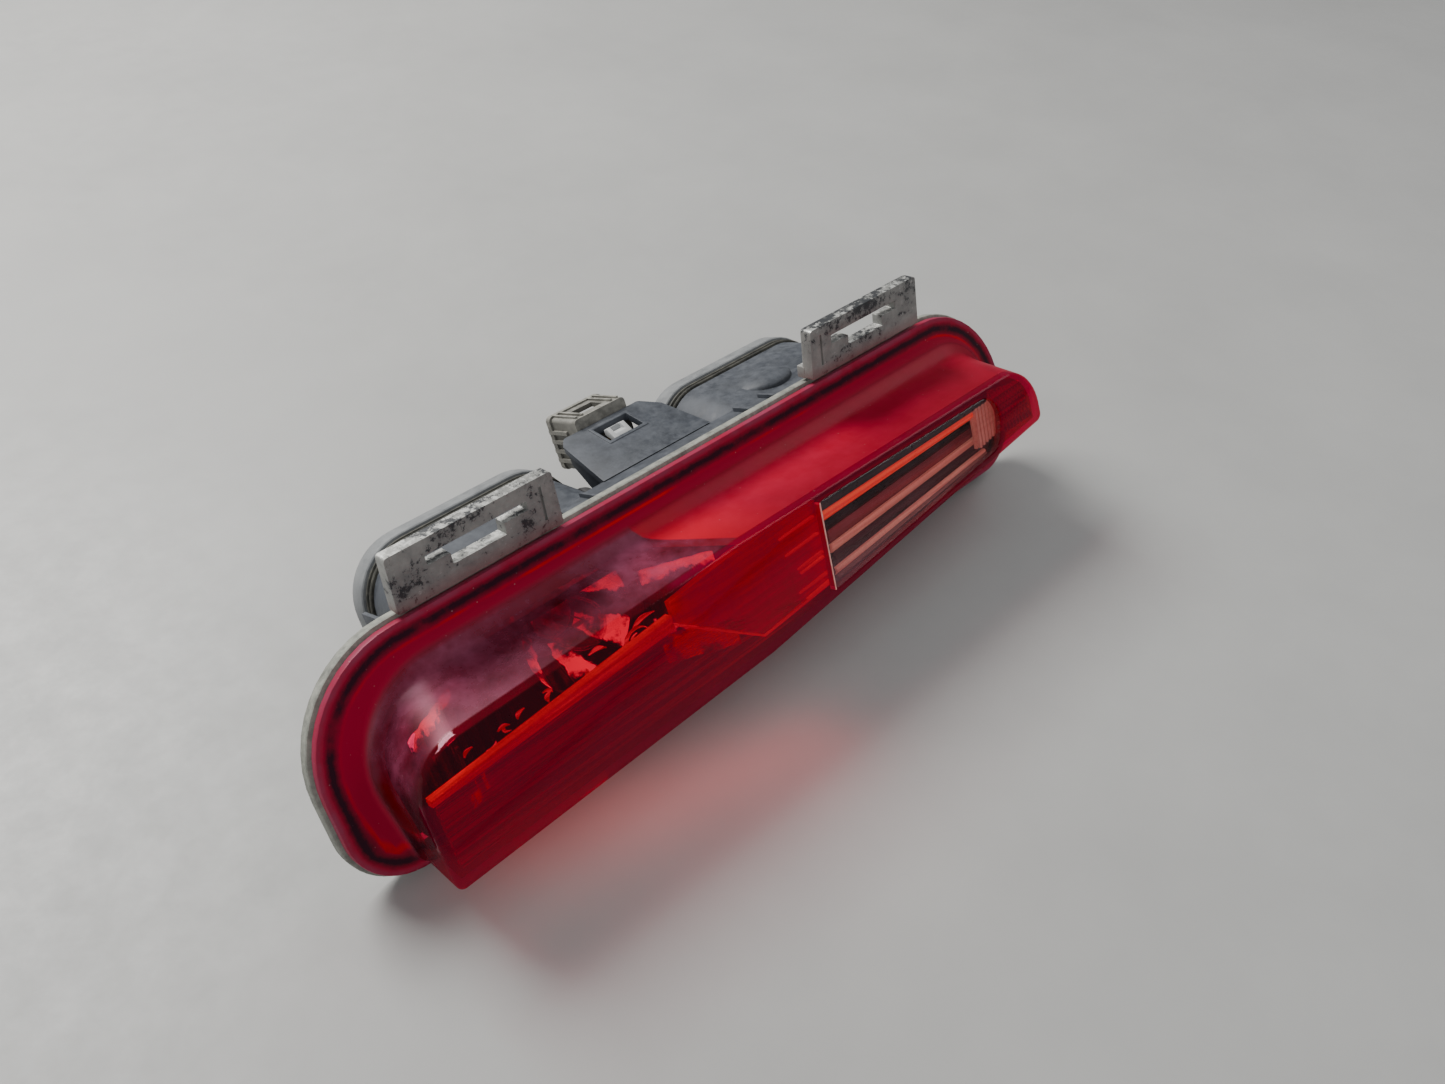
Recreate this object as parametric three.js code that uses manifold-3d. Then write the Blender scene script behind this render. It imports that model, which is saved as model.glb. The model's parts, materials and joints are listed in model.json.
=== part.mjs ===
// Third brake light: a long red lamp with a stop chamber on the left, a clear reversing window on
// the right, a grey housing, two slotted brackets and a centre tab on its top edge.
//
// Millimetres. In the row frame +X runs along the lamp, -Y is its front and +Z is up, and the lamp
// lies on its back, as it does on a bench. Every piece is drawn in the lamp's own axes and then
// leans back with the whole lamp: x along it, depth backwards from the flange's front face, and
// height up from the flange's lower edge. Those are x, y and z inside the leaning group.

import * as THREE from 'three';
import { mergeVertices } from 'three/addons/utils/BufferGeometryUtils.js';
import Module from 'manifold-3d';

const wasm = await Module();
wasm.setup();

// ---- driving dimensions ----
const LEAN = THREE.MathUtils.degToRad(27);
const GAP = 0.3;               // between pieces that touch
const PAST = 2;                // how far a cutter runs past what it cuts

const FLANGE = { half: 148.5, height: 67.4, topRadius: 35.5, lowRadius: 18.5, thickness: 3.2 };
const FACE_DEPTH = -28;        // the raised front stands this far out of the flange
const LENS_WALL = 2.4;
const PEAK_X = -15;            // where the front's crease runs

const RIM = { proud: 1.2, front: FLANGE.thickness + GAP, back: 8.5 };
const SHELL_WALL = 2.4;
const TUB_BACK = 22;
const LOBE = { inner: 22, outer: 100, low: 27, top: 71, back: 46, radius: 18 };
const GASKET = { front: LOBE.back + GAP, back: 49.7 };
const CAP = { front: 50, back: 58, top: 73, wall: 2.4, proud: 2, radius: 20 };

/** The height of the bench under the lamp at some depth: it rests on its rim and on its caps. */
const benchHeight = (depth) => -RIM.proud + (depth - RIM.back) * Math.tan(LEAN);

const BULB_X = { stop: -61, reverse: 61 };
const BULB_HEIGHT = 38.5;
const BULB = { radius: 7.9, neck: 6.4, domeMiddle: -1, shoulder: 7, neckStart: 12.5, back: 14 };
const PORT_RADIUS = 9.2;
const LUG = { count: 3, reach: 11.2, half: 2, clearance: 0.5, thickness: 1.6 };
const LUG_OPEN_TURN = 45;      // degrees from locked to where the lugs line up with the cap's notches
const HOLDER = {
  front: 15, floor: 30.5, bore: 7.8, radius: 8.6, rimFront: 59.9, rimBack: 61.4, rimRadius: 10.5,
};
const GRIP = { halfWidth: 1.8, halfLength: 8.5, front: 61, back: 64.2 };

const INNER_FACE = FACE_DEPTH + LENS_WALL;
const BOWL = { focal: 5.3, vertex: 26, mouth: 3.6, back: 22.2, wall: 1.4, lip: 2 };
const MASK = {
  left: -128.2, right: -20, low: 5.5, top: 49.2, front: 0.8, back: 2.4, mouth: 20.8, mouthTop: 46.8,
};
const STEPS = { left: 15, right: 111, wall: 1.6 };

const BRACKET = { inner: 54, outer: 110.5, foot: 68, top: 85, thickness: 4.4, lean: 13 };
const BRACKET_GROOVE = { x: 59.4, half: 0.6, depth: 0.7, end: 3 };
const TAB = { halfFront: 24.5, halfBack: 20.5, front: 19, back: 47, height: 65, slope: 21.8, thickness: 2.4 };
const SLOT = { half: 7.3, front: 35.8, back: 44.2 };
const CONNECTOR = { half: 11, front: 48, back: 66, low: 61, top: 80, wall: 1.6 };
const PIN = { spacing: 5.5, height: 68.5, width: 2, thickness: 0.8, front: 46.2, back: 58 };
const STRIP = { near: 30, far: 50, front: 20, back: 40.5, thickness: 0.8, width: 4 };

// ---- materials ----
const plastic = (color, roughness) => new THREE.MeshStandardMaterial({ color, roughness, metalness: 0 });
const metal = (color, roughness) => new THREE.MeshStandardMaterial({ color, roughness, metalness: 0.9 });
const clear = (color, opacity) =>
  new THREE.MeshStandardMaterial({ color, roughness: 0.08, transparent: true, opacity });

// ---- solids ----
function solidOf(geometry) {
  const bare = geometry.clone();
  bare.deleteAttribute('normal');
  bare.deleteAttribute('uv');
  const merged = mergeVertices(bare, 1e-4);
  return new wasm.Manifold(new wasm.Mesh({
    numProp: 3,
    vertProperties: new Float32Array(merged.attributes.position.array),
    triVerts: new Uint32Array(merged.index.array),
  }));
}

function geometryOf(solid) {
  const mesh = solid.getMesh();
  const geometry = new THREE.BufferGeometry();
  geometry.setAttribute('position', new THREE.BufferAttribute(new Float32Array(mesh.vertProperties), 3));
  geometry.setIndex(new THREE.BufferAttribute(new Uint32Array(mesh.triVerts), 1));
  geometry.computeVertexNormals();
  return geometry;
}

const join = (...solids) => solids.reduce((whole, next) => whole.add(next));
const cut = (solid, ...cutters) => cutters.reduce((left, cutter) => left.subtract(cutter), solid);

/** A block between two corners [x, depth, height]. */
function block(low, high) {
  const size = low.map((value, axis) => high[axis] - value);
  const geometry = new THREE.BoxGeometry(...size);
  geometry.translate(...low.map((value, axis) => value + size[axis] / 2));
  return solidOf(geometry);
}

/** A closed outline with rounded corners; each corner is [x, height, radius], and radius 0 stays sharp. */
function roundedOutline(corners, steps = 6) {
  const points = [];
  corners.forEach(([x, height, radius], index) => {
    const here = new THREE.Vector2(x, height);
    if (radius === 0) {
      points.push(here);
      return;
    }
    const before = new THREE.Vector2(...corners.at(index - 1).slice(0, 2)).sub(here).normalize();
    const after = new THREE.Vector2(...corners[(index + 1) % corners.length].slice(0, 2)).sub(here).normalize();
    const half = Math.acos(THREE.MathUtils.clamp(before.dot(after), -1, 1)) / 2;
    const reach = radius / Math.tan(half);
    const centre = here.clone().addScaledVector(before.clone().add(after).normalize(), radius / Math.sin(half));
    const start = here.clone().addScaledVector(before, reach).sub(centre);
    const end = here.clone().addScaledVector(after, reach).sub(centre);
    const sweep = Math.atan2(start.cross(end), start.dot(end));
    for (let step = 0; step <= steps; step += 1) {
      points.push(start.clone().rotateAround(new THREE.Vector2(), (sweep * step) / steps).add(centre));
    }
  });
  return points;
}

/** Four corners of an upright rectangle, in turn, with one radius for the foot and one for the top. */
const rectangle = (left, right, low, top, lowRadius, topRadius = lowRadius) => [
  [left, low, lowRadius], [right, low, lowRadius], [right, top, topRadius], [left, top, topRadius],
];

/** The corners as given for the right-hand side, or mirrored for the left, still anticlockwise. */
const mirrored = (side, corners) =>
  (side > 0 ? corners : corners.map(([x, ...rest]) => [-x, ...rest]).reverse());

/** A solid through a row of outlines with equal point counts; each ring is { points, depth }, front first. */
function loft(rings) {
  const count = rings[0].points.length;
  const positions = rings.flatMap(({ points, depth }) => points.flatMap(({ x, y }) => [x, depth, y]));
  const index = [];
  for (let ring = 0; ring + 1 < rings.length; ring += 1) {
    for (let step = 0; step < count; step += 1) {
      const a = ring * count + step;
      const b = ring * count + ((step + 1) % count);
      index.push(a, a + count, b, b, a + count, b + count);
    }
  }
  const last = (rings.length - 1) * count;
  const frontFaces = THREE.ShapeUtils.triangulateShape(rings[0].points, []);
  const backFaces = THREE.ShapeUtils.triangulateShape(rings.at(-1).points, []);
  frontFaces.forEach(([a, b, c]) => index.push(a, b, c));
  backFaces.forEach(([a, b, c]) => index.push(last + c, last + b, last + a));
  const geometry = new THREE.BufferGeometry();
  geometry.setAttribute('position', new THREE.Float32BufferAttribute(positions, 3));
  geometry.setIndex(index);
  return solidOf(geometry);
}

/** A plate of one outline between two depths. */
const plate = (points, front, back) => loft([{ points, depth: front }, { points, depth: back }]);

/** A profile of [radius, depth] pairs turned round an axis along the depth. */
function turned(profile, x, height, segments = 28) {
  const points = profile.map(([radius, depth]) => new THREE.Vector2(radius, depth));
  const geometry = new THREE.LatheGeometry(points, segments);
  geometry.translate(x, 0, height);
  const volume = signedVolume(geometry);
  return solidOf(volume < 0 ? flipped(geometry) : geometry);
}

function signedVolume(geometry) {
  const position = geometry.attributes.position;
  const corner = (n) => new THREE.Vector3().fromBufferAttribute(position, geometry.index.getX(n));
  let total = 0;
  for (let n = 0; n < geometry.index.count; n += 3) {
    total += corner(n).dot(corner(n + 1).cross(corner(n + 2)));
  }
  return total;
}

function flipped(geometry) {
  const turnedOver = geometry.clone();
  const order = Array.from(geometry.index.array);
  for (let n = 0; n < order.length; n += 3) {
    [order[n], order[n + 1]] = [order[n + 1], order[n]];
  }
  turnedOver.setIndex(order);
  return turnedOver;
}

/** A rod of one radius between two depths. */
const rod = (radius, front, back, x, height, segments) =>
  turned([[0, front], [radius, front], [radius, back], [0, back]], x, height, segments);

/** A side profile of [depth, height] points run along x between two ends. */
function along(profile, left, right) {
  const shape = new THREE.Shape(profile.map(([depth, height]) => new THREE.Vector2(depth, height)));
  const geometry = new THREE.ExtrudeGeometry(shape, { depth: right - left, bevelEnabled: false });
  geometry.applyMatrix4(new THREE.Matrix4().set(0, 0, 1, left, 1, 0, 0, 0, 0, 1, 0, 0, 0, 0, 0, 1));
  return solidOf(geometry);
}

// ---- outlines ----
const flangeOutline = (grow = 0) => roundedOutline(rectangle(
  -FLANGE.half - grow, FLANGE.half + grow, -grow, FLANGE.height + grow,
  FLANGE.lowRadius + grow, FLANGE.topRadius + grow));

/** Where the raised front meets the flange, moved inwards by inset. */
const rootOutline = (inset = 0) => roundedOutline([
  [-131 + inset, 0.8 + inset, 4], [PEAK_X, 1 + inset, 0], [136 - inset, 5 + inset, 6],
  [138 - inset, 52.5 - inset, 19], [PEAK_X, 52.8 - inset, 0], [-135 + inset, 52.5 - inset, 24],
]);

/** The edge of the flat front: its lower edge rises to the right, and its top edge peaks at the crease. */
const faceOutline = (inset = 0) => roundedOutline([
  [-134.8 + inset, 4.4 + inset, 2.5], [PEAK_X, 7.9 + inset, 0], [134 - inset, 22.6 + inset, 2.5],
  [134 - inset, 45 - inset, 16.5 - inset], [PEAK_X, 46 - inset, 0], [-135.2 + inset, 43 - inset, 16.5 - inset],
]);

const windowOutline = (inset = 0) => roundedOutline([
  [15 + inset, 14.9 + inset, 2], [108 - inset, 23.9 + inset, 7], [114 - inset, 41.8 - inset, 9 - inset],
  [18 + inset, 42.6 - inset, 2],
]);

/** Two ends in x, the lower one first, of something on the left (-1) or the right (1). */
const sideEnds = (side, inner, outer) => [side * inner, side * outer].sort((a, b) => a - b);

function lobeOutline(side, inset = 0) {
  const [left, right] = sideEnds(side, LOBE.inner, LOBE.outer);
  return roundedOutline(rectangle(left + inset, right - inset, LOBE.low + inset, LOBE.top - inset,
    LOBE.radius - inset));
}

function capOutline(side, inset = 0) {
  const [left, right] = sideEnds(side, LOBE.inner - CAP.proud, LOBE.outer + CAP.proud);
  return roundedOutline(rectangle(left + inset, right - inset, benchHeight(CAP.back) + inset,
    CAP.top - inset, CAP.radius - inset));
}

// ---- lens ----
function outerLens() {
  const flange = plate(flangeOutline(), 0, FLANGE.thickness);
  const front = loft([{ points: faceOutline(), depth: FACE_DEPTH }, { points: rootOutline(), depth: GAP }]);
  const hollow = loft([
    { points: faceOutline(LENS_WALL), depth: INNER_FACE },
    { points: rootOutline(LENS_WALL), depth: 0 },
    { points: rootOutline(LENS_WALL), depth: FLANGE.thickness + PAST },
  ]);
  const opening = plate(windowOutline(), FACE_DEPTH - PAST, INNER_FACE + PAST);
  return cut(join(flange, front), hollow, opening);
}

const windowLens = () => plate(windowOutline(GAP), FACE_DEPTH, INNER_FACE);

// ---- housing ----
/** The tub behind the rim, which narrows to where the two chambers start. */
function tub(inset) {
  const wide = rectangle(-140 + inset, 140 - inset, 3 + inset, 65.6 - inset, 16, 28);
  const narrow = rectangle(-112 + inset, 112 - inset, 12 + inset, 65.6 - inset, 12, 20);
  return loft([
    { points: roundedOutline(wide), depth: RIM.back - 1 },
    { points: roundedOutline(narrow), depth: TUB_BACK - inset },
  ]);
}

/** One chamber: it starts wide inside the tub and narrows to its gasket. */
function lobe(side, inset, back) {
  const [left, right] = sideEnds(side, LOBE.inner - 1, LOBE.outer + 10);
  const start = roundedOutline(rectangle(left + inset, right - inset, 13 + inset, 65.2 - inset, 12 - inset,
    LOBE.radius - inset));
  return loft([
    { points: start, depth: TUB_BACK - 4 - inset },
    { points: lobeOutline(side, inset), depth: back },
  ]);
}

/** A low round dome on the shelf above the right-hand chamber. */
const shelfDome = () => turned([[0, -4], [12, -4], [12, 1.2], [10, 3.2], [0, 4.4]], 0, 0)
  .rotate([90, 0, 0])
  .translate([58, 32, 66]);

function housing() {
  const rim = plate(flangeOutline(RIM.proud), RIM.front, RIM.back);
  const outside = join(rim, tub(0), lobe(-1, 0, LOBE.back), lobe(1, 0, LOBE.back), shelfDome());
  const mouth = plate(rootOutline(LENS_WALL - 0.6), RIM.front - PAST, RIM.back);
  const inside = join(mouth, tub(SHELL_WALL), lobe(-1, SHELL_WALL, LOBE.back + PAST),
    lobe(1, SHELL_WALL, LOBE.back + PAST));
  return cut(outside, inside);
}

// ---- rear caps, gaskets ----
function rearCap(side) {
  const x = side * BULB_X.reverse;
  const shell = plate(capOutline(side), CAP.front, CAP.back);
  const hollow = plate(capOutline(side, CAP.wall), CAP.front - PAST, CAP.back - CAP.wall);
  const port = rod(PORT_RADIUS, CAP.front, CAP.back + PAST, x, BULB_HEIGHT);
  return cut(shell, hollow, port, lugs(x, LUG_OPEN_TURN, LUG.clearance, CAP.front, CAP.back + PAST));
}

/** A gasket with a lip at its front and one at its back, and a groove between. */
function gasket(side) {
  const lip = (inset, front, back) => plate(lobeOutline(side, inset), front, back);
  const ring = join(
    lip(-0.8, GASKET.front, GASKET.front + 1.2),
    lip(0.2, GASKET.front + 1, GASKET.back - 1),
    lip(-0.8, GASKET.back - 1.2, GASKET.back),
  );
  return cut(ring, lip(2.4, GASKET.front - PAST, GASKET.back + PAST));
}

// ---- bulbs and holders ----
/** Lugs round a bulb axis, turned by some degrees and grown by a clearance. */
function lugs(x, turn, grow, front, back) {
  const reach = LUG.reach + grow;
  const half = LUG.half + grow;
  const pieces = Array.from({ length: LUG.count }, (unused, n) =>
    block([0, front, -half], [reach, back, half]).rotate([0, turn + (360 / LUG.count) * n, 0]));
  return join(...pieces).translate([x, 0, BULB_HEIGHT]);
}

/** The holder: a cup for the bulb's base, a rim outside the cap, lugs behind it and a grip to turn it by. */
function bulbHolder(x) {
  const { front, floor, bore, radius, rimFront, rimBack, rimRadius } = HOLDER;
  const body = turned([
    [0, floor], [bore, floor], [bore, front], [radius, front], [radius, rimFront], [rimRadius, rimFront],
    [rimRadius, rimBack], [0, rimBack],
  ], x, BULB_HEIGHT);
  const grip = block([x - GRIP.halfWidth, GRIP.front, BULB_HEIGHT - GRIP.halfLength],
    [x + GRIP.halfWidth, GRIP.back, BULB_HEIGHT + GRIP.halfLength]);
  const lugBack = CAP.back - CAP.wall - GAP;
  return join(body, grip, lugs(x, 0, 0, lugBack - LUG.thickness, lugBack));
}

const holderSeal = (x) =>
  turned([[8.9, 58.3], [10.3, 58.3], [10.3, 59.6], [8.9, 59.6], [8.9, 58.3]], x, BULB_HEIGHT);

const bulbBase = (x) => turned([
  [0, 14.3], [6.6, 14.3], [7.4, 15.4], [7.4, 28], [4, 29.4], [1.8, 30.2], [0, 30.2],
], x, BULB_HEIGHT);

function bulbGlass(x) {
  const { radius, neck, domeMiddle, shoulder, neckStart, back } = BULB;
  const steps = 6;
  const dome = Array.from({ length: steps + 1 }, (unused, step) => {
    const angle = (Math.PI / 2) * (step / steps);
    return [radius * Math.sin(angle), domeMiddle - radius * Math.cos(angle)];
  });
  return turned([...dome, [radius, shoulder], [neck, neckStart], [neck, back], [0, back]], x, BULB_HEIGHT);
}

// ---- optics inside the lens ----
/** The parabolic bowl behind the stop bulb, with a lip round its mouth and flats where the housing passes. */
function stopReflector() {
  const { focal, vertex, mouth, back, wall, lip } = BOWL;
  const steps = 8;
  const inner = Array.from({ length: steps + 1 }, (unused, step) => {
    const depth = mouth + ((back - mouth) * step) / steps;
    return [2 * Math.sqrt(focal * (vertex - depth)), depth];
  });
  const outer = inner.map(([radius, depth]) => [radius + wall, depth + 0.5]);
  const lipRadius = inner[0][0] + lip;
  const rim = [[lipRadius, mouth], [lipRadius, mouth + 1.2]];
  const bowl = turned([...inner.toReversed(), ...rim, ...outer, inner.at(-1)], BULB_X.stop, BULB_HEIGHT, 36);
  const rimFlat = block([-200, -PAST, 49.6], [0, RIM.back + 1, 90]);
  const shelfFlat = block([-200, -PAST, 61], [0, 30, 90]);
  return cut(bowl, rimFlat, shelfFlat);
}

/** The black mask round the bowl's mouth, which stays closed along the top. */
function chamberMask() {
  const { left, right, low, top, front, back, mouth, mouthTop } = MASK;
  const outline = roundedOutline([[left, low, 4], [right, low, 3], [right, top, 3], [left, top, 22]]);
  const bowlMouth = rod(mouth, front - PAST, back + PAST, BULB_X.stop, BULB_HEIGHT, 36);
  const keepTop = block([left, front - 2 * PAST, mouthTop], [right, back + 2 * PAST, top + mouth]);
  return cut(plate(outline, front, back), cut(bowlMouth, keepTop));
}

/** The front of the stepped bars behind the window: [depth behind the face, height at the left, at the right]. */
const STEP_EDGES = [
  [3, 41.4, 41], [4, 37.6, 38.2], [6, 36.4, 37], [7, 32.8, 34.6], [10, 31, 32.8], [10.6, 25.8, 28.8],
  [12, 24, 27.4], [12.6, 21.2, 25], [10.8, 20.6, 24.6], [11.4, 18.4, 22.6],
];

/** The stepped bars, a sheet run between its left and right profiles, open where the bulb shines through. */
function stepReflector() {
  const profile = (end) => {
    const front = STEP_EDGES.map((edge) => new THREE.Vector2(FACE_DEPTH + edge[0], edge[end]));
    const back = front.map((point) => new THREE.Vector2(point.x + STEPS.wall, point.y)).reverse();
    return [...front, ...back];
  };
  const swapped = loft([{ points: profile(1), depth: STEPS.left }, { points: profile(2), depth: STEPS.right }]);
  const alongLamp = new THREE.Matrix4().set(0, 1, 0, 0, 1, 0, 0, 0, 0, 0, 1, 0, 0, 0, 0, 1);
  const bars = swapped.transform(alongLamp.elements);
  return cut(bars, rod(PORT_RADIUS, FACE_DEPTH, 0, BULB_X.reverse, BULB_HEIGHT));
}

/** The solid red block in the middle, folded at the crease. */
function centreOptic() {
  const outline = roundedOutline([
    [-42, 31, 1], [-14, 12.5, 1], [12.5, 14.5, 1], [14.5, 41.6, 1], [-42, 40.5, 1],
  ], 2);
  return plate(outline, INNER_FACE + 0.8, INNER_FACE + 4.4);
}

/** The fine-lined strip under the bright bar: a plate with long ribs on its front. */
function lowerOptic() {
  const front = INNER_FACE + 1.2;
  const outline = roundedOutline([[-129.5, 9, 3], [-28, 11.5, 2], [-46.5, 30.5, 2], [-130, 27.5, 3]], 3);
  const ribs = Array.from({ length: 6 }, (unused, n) =>
    block([-127, front - 0.6, 11.4 + 2.6 * n], [-48, front + 0.4, 12.4 + 2.6 * n]));
  return join(plate(outline, front, front + 2.2), ...ribs);
}

/** The bright bar over the strip, rising to the right. */
function lightBar() {
  const outline = roundedOutline([
    [-130, 28.6, 0.4], [-47.5, 31.8, 0.4], [-44.5, 36.6, 0.4], [-130.5, 30.2, 0.4],
  ], 2);
  return plate(outline, INNER_FACE + 0.8, INNER_FACE + 9);
}

// ---- brackets ----
/** A slotted bracket: a thick plate with a foot, leaning forward from the flange's plane. */
function bracket(side) {
  const { inner, outer, foot, top, thickness } = BRACKET;
  const outline = roundedOutline(mirrored(side, [
    [inner, foot, 0.6], [outer, foot, 0.6], [outer - 0.6, top, 1.2], [inner + 0.6, top, 1.2],
  ]), 2);
  const slot = roundedOutline(mirrored(side, [
    [64.5, 77, 0.3], [73, 77, 0.3], [73, 73.4, 0.3], [91, 73.4, 0.3], [91, 77, 0.3], [98.5, 77, 0.3],
    [98.5, 80, 0.3], [64.5, 80, 0.3]]), 1);
  const panel = cut(plate(outline, 0, thickness), plate(slot, -PAST, thickness + PAST));
  const [heelLeft, heelRight] = sideEnds(side, inner, inner + 7);
  const heel = block([heelLeft, thickness - 0.5, foot], [heelRight, thickness + 2.5, foot + 3]);
  const groove = block([side * BRACKET_GROOVE.x - BRACKET_GROOVE.half, -PAST, foot + BRACKET_GROOVE.end],
    [side * BRACKET_GROOVE.x + BRACKET_GROOVE.half, BRACKET_GROOVE.depth, top - BRACKET_GROOVE.end]);
  const piece = cut(join(panel, heel), groove);
  return piece.translate([0, 0, -foot]).rotate([BRACKET.lean, 0, 0]).translate([0, -0.4, foot + 1.4]);
}

// ---- centre tab, catch and connector ----
const tabSlope = Math.tan(THREE.MathUtils.degToRad(TAB.slope));
const tabHeight = (depth) => TAB.height + (depth - TAB.front) * tabSlope;

function tabPlate() {
  const corners = [[-TAB.halfFront, TAB.front], [TAB.halfFront, TAB.front], [TAB.halfBack, TAB.back - 6],
    [TAB.halfBack - 5, TAB.back], [-TAB.halfBack + 3, TAB.back], [-TAB.halfBack, TAB.back - 3]];
  const shape = new THREE.Shape(corners.map(([x, depth]) => new THREE.Vector2(x, depth)));
  const geometry = new THREE.ExtrudeGeometry(shape, { depth: 40, bevelEnabled: false });
  geometry.translate(0, 0, TAB.height - 10);
  const [front, back] = [TAB.front - PAST, TAB.back + PAST];
  const band = along([[front, tabHeight(front) - TAB.thickness], [back, tabHeight(back) - TAB.thickness],
    [back, tabHeight(back)], [front, tabHeight(front)]], -TAB.halfFront - PAST, TAB.halfFront + PAST);
  return solidOf(geometry).intersect(band);
}

function centreTab() {
  const behindTub = TUB_BACK + GAP;
  const wallTop = (depth) => tabHeight(depth) - 0.6;
  const gusset = [[behindTub, 50], [28, 50], [44, 68], [44, wallTop(44)], [behindTub, wallTop(behindTub)]];
  const walls = [-1, 1].map((side) => along(gusset, side > 0 ? 17 : -19.5, side > 0 ? 19.5 : -17));
  const post = block([-8, behindTub, 52], [8, CONNECTOR.front - GAP, 64]);
  const slot = block([-SLOT.half, SLOT.front, 60], [SLOT.half, SLOT.back, 90]);
  const slab = cut(tabPlate(), slot);
  const foot = block([-19.5, behindTub, 50], [19.5, behindTub + 2, 64]);
  return cut(join(slab, ...walls, post, foot), block([-30, TAB.front - PAST, 40], [30, behindTub, 65.9]));
}

/** The spring catch stands on the post, under the tab, and its head fills the middle of the slot. */
function tabCatch() {
  const head = tabHeight(40);
  const profile = [[38.2, 64.3], [39.8, 64.3], [39.8, head - 3.4], [43.4, head - 1.6], [43.4, head + 0.4],
    [41.6, head + 0.9], [38.2, head - 2.2]];
  return along(profile, -3.9, 3.9);
}

function connectorShell() {
  const { half, front, back, low, top, wall } = CONNECTOR;
  const shell = plate(roundedOutline(rectangle(-half, half, low, top, 1.5), 2), front, back);
  const socket = block([-half + wall, front + wall, low + wall], [half - wall, back + PAST, top - wall]);
  const latchWindow = block([-4.5, front + 4, top - wall - 1], [4.5, front + 11, top + PAST]);
  const pinHoles = [-1, 0, 1].map((n) => pin(n, 0.3, front - PAST, front + wall + PAST));
  const ribs = [-1, 1].map((side) =>
    block([side * half - 0.8, back - 9, low + 3], [side * half + 0.8, back - 1, low + 6]));
  return cut(join(shell, ...ribs), socket, latchWindow, ...pinHoles);
}

function pin(position, grow = 0, front = PIN.front, back = PIN.back) {
  const x = position * PIN.spacing;
  const halfWidth = PIN.width / 2 + grow;
  const halfHeight = PIN.thickness / 2 + grow;
  return block([x - halfWidth, front, PIN.height - halfHeight], [x + halfWidth, back, PIN.height + halfHeight]);
}

/** A contact strip inside the housing, from its middle to a bulb holder, bent once at its back corner. */
function feedStrip(side) {
  const { near, far, front, back, thickness, width } = STRIP;
  const outline = [
    [near, front], [near + thickness, front], [near + thickness, back - thickness], [far, back - thickness],
    [far, back], [near, back],
  ];
  const shape = new THREE.Shape(outline.map(([x, depth]) => new THREE.Vector2(side * x, depth)));
  const geometry = new THREE.ExtrudeGeometry(shape, { depth: width, bevelEnabled: false });
  geometry.translate(0, 0, BULB_HEIGHT - width / 2);
  return solidOf(geometry);
}

// ---- the lamp ----
const RED = 0x8a0a1c;
const GREY = 0x5d6670;
const LIGHT_GREY = 0xa9adb0;
const BLACK = 0x14140f;
const BRASS = 0xc9a552;

const pieces = {
  outer_lens: [outerLens(), clear(RED, 0.75)],
  window_lens: [windowLens(), clear(0xd99a98, 0.45)],
  housing: [housing(), plastic(GREY, 0.62)],
  rear_cap_left: [rearCap(-1), plastic(LIGHT_GREY, 0.6)],
  rear_cap_right: [rearCap(1), plastic(LIGHT_GREY, 0.6)],
  gasket_left: [gasket(-1), plastic(BLACK, 0.8)],
  gasket_right: [gasket(1), plastic(BLACK, 0.8)],
  stop_reflector: [stopReflector(), metal(0xd8d8d8, 0.1)],
  chamber_mask: [chamberMask(), plastic(0x0d0d0d, 0.5)],
  step_reflector: [stepReflector(), metal(0xd0c8c4, 0.15)],
  centre_optic: [centreOptic(), clear(0xb0060c, 0.85)],
  lower_optic: [lowerOptic(), clear(0x8c0612, 0.8)],
  light_bar: [lightBar(), clear(0xd2140c, 0.85)],
  bracket_left: [bracket(-1), metal(0xa4a4a2, 0.45)],
  bracket_right: [bracket(1), metal(0xa4a4a2, 0.45)],
  centre_tab: [centreTab(), plastic(0x525c68, 0.6)],
  tab_catch: [tabCatch(), plastic(0xb4b6b6, 0.5)],
  connector_shell: [connectorShell(), plastic(0x8d9092, 0.6)],
  connector_pin_stop: [pin(-1), metal(BRASS, 0.3)],
  connector_pin_ground: [pin(0), metal(BRASS, 0.3)],
  connector_pin_reverse: [pin(1), metal(BRASS, 0.3)],
  stop_feed_strip: [feedStrip(-1), metal(BRASS, 0.3)],
  reverse_feed_strip: [feedStrip(1), metal(BRASS, 0.3)],
};

Object.entries(BULB_X).forEach(([use, x]) => {
  pieces[`${use}_bulb_holder`] = [bulbHolder(x), plastic(0x2b2d2f, 0.55)];
  pieces[`${use}_holder_seal`] = [holderSeal(x), plastic(0x1b1b19, 0.8)];
  pieces[`${use}_bulb_base`] = [bulbBase(x), metal(0xc8c8c6, 0.3)];
  pieces[`${use}_bulb_glass`] = [bulbGlass(x), clear(0xf2f4f4, 0.4)];
});

const leaning = new THREE.Group();
Object.entries(pieces).forEach(([name, [solid, material]]) => {
  const mesh = new THREE.Mesh(geometryOf(solid), material);
  mesh.name = name;
  leaning.add(mesh);
});
leaning.rotation.x = -LEAN;

const lamp = new THREE.Group();
lamp.add(leaning);
const extent = new THREE.Box3().setFromObject(lamp, true);
leaning.position.y = -(extent.min.y + extent.max.y) / 2;
leaning.position.z = -extent.min.z;

export default lamp;
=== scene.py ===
import json
import math

import bmesh
import bpy
from mathutils import Matrix, Vector


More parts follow.
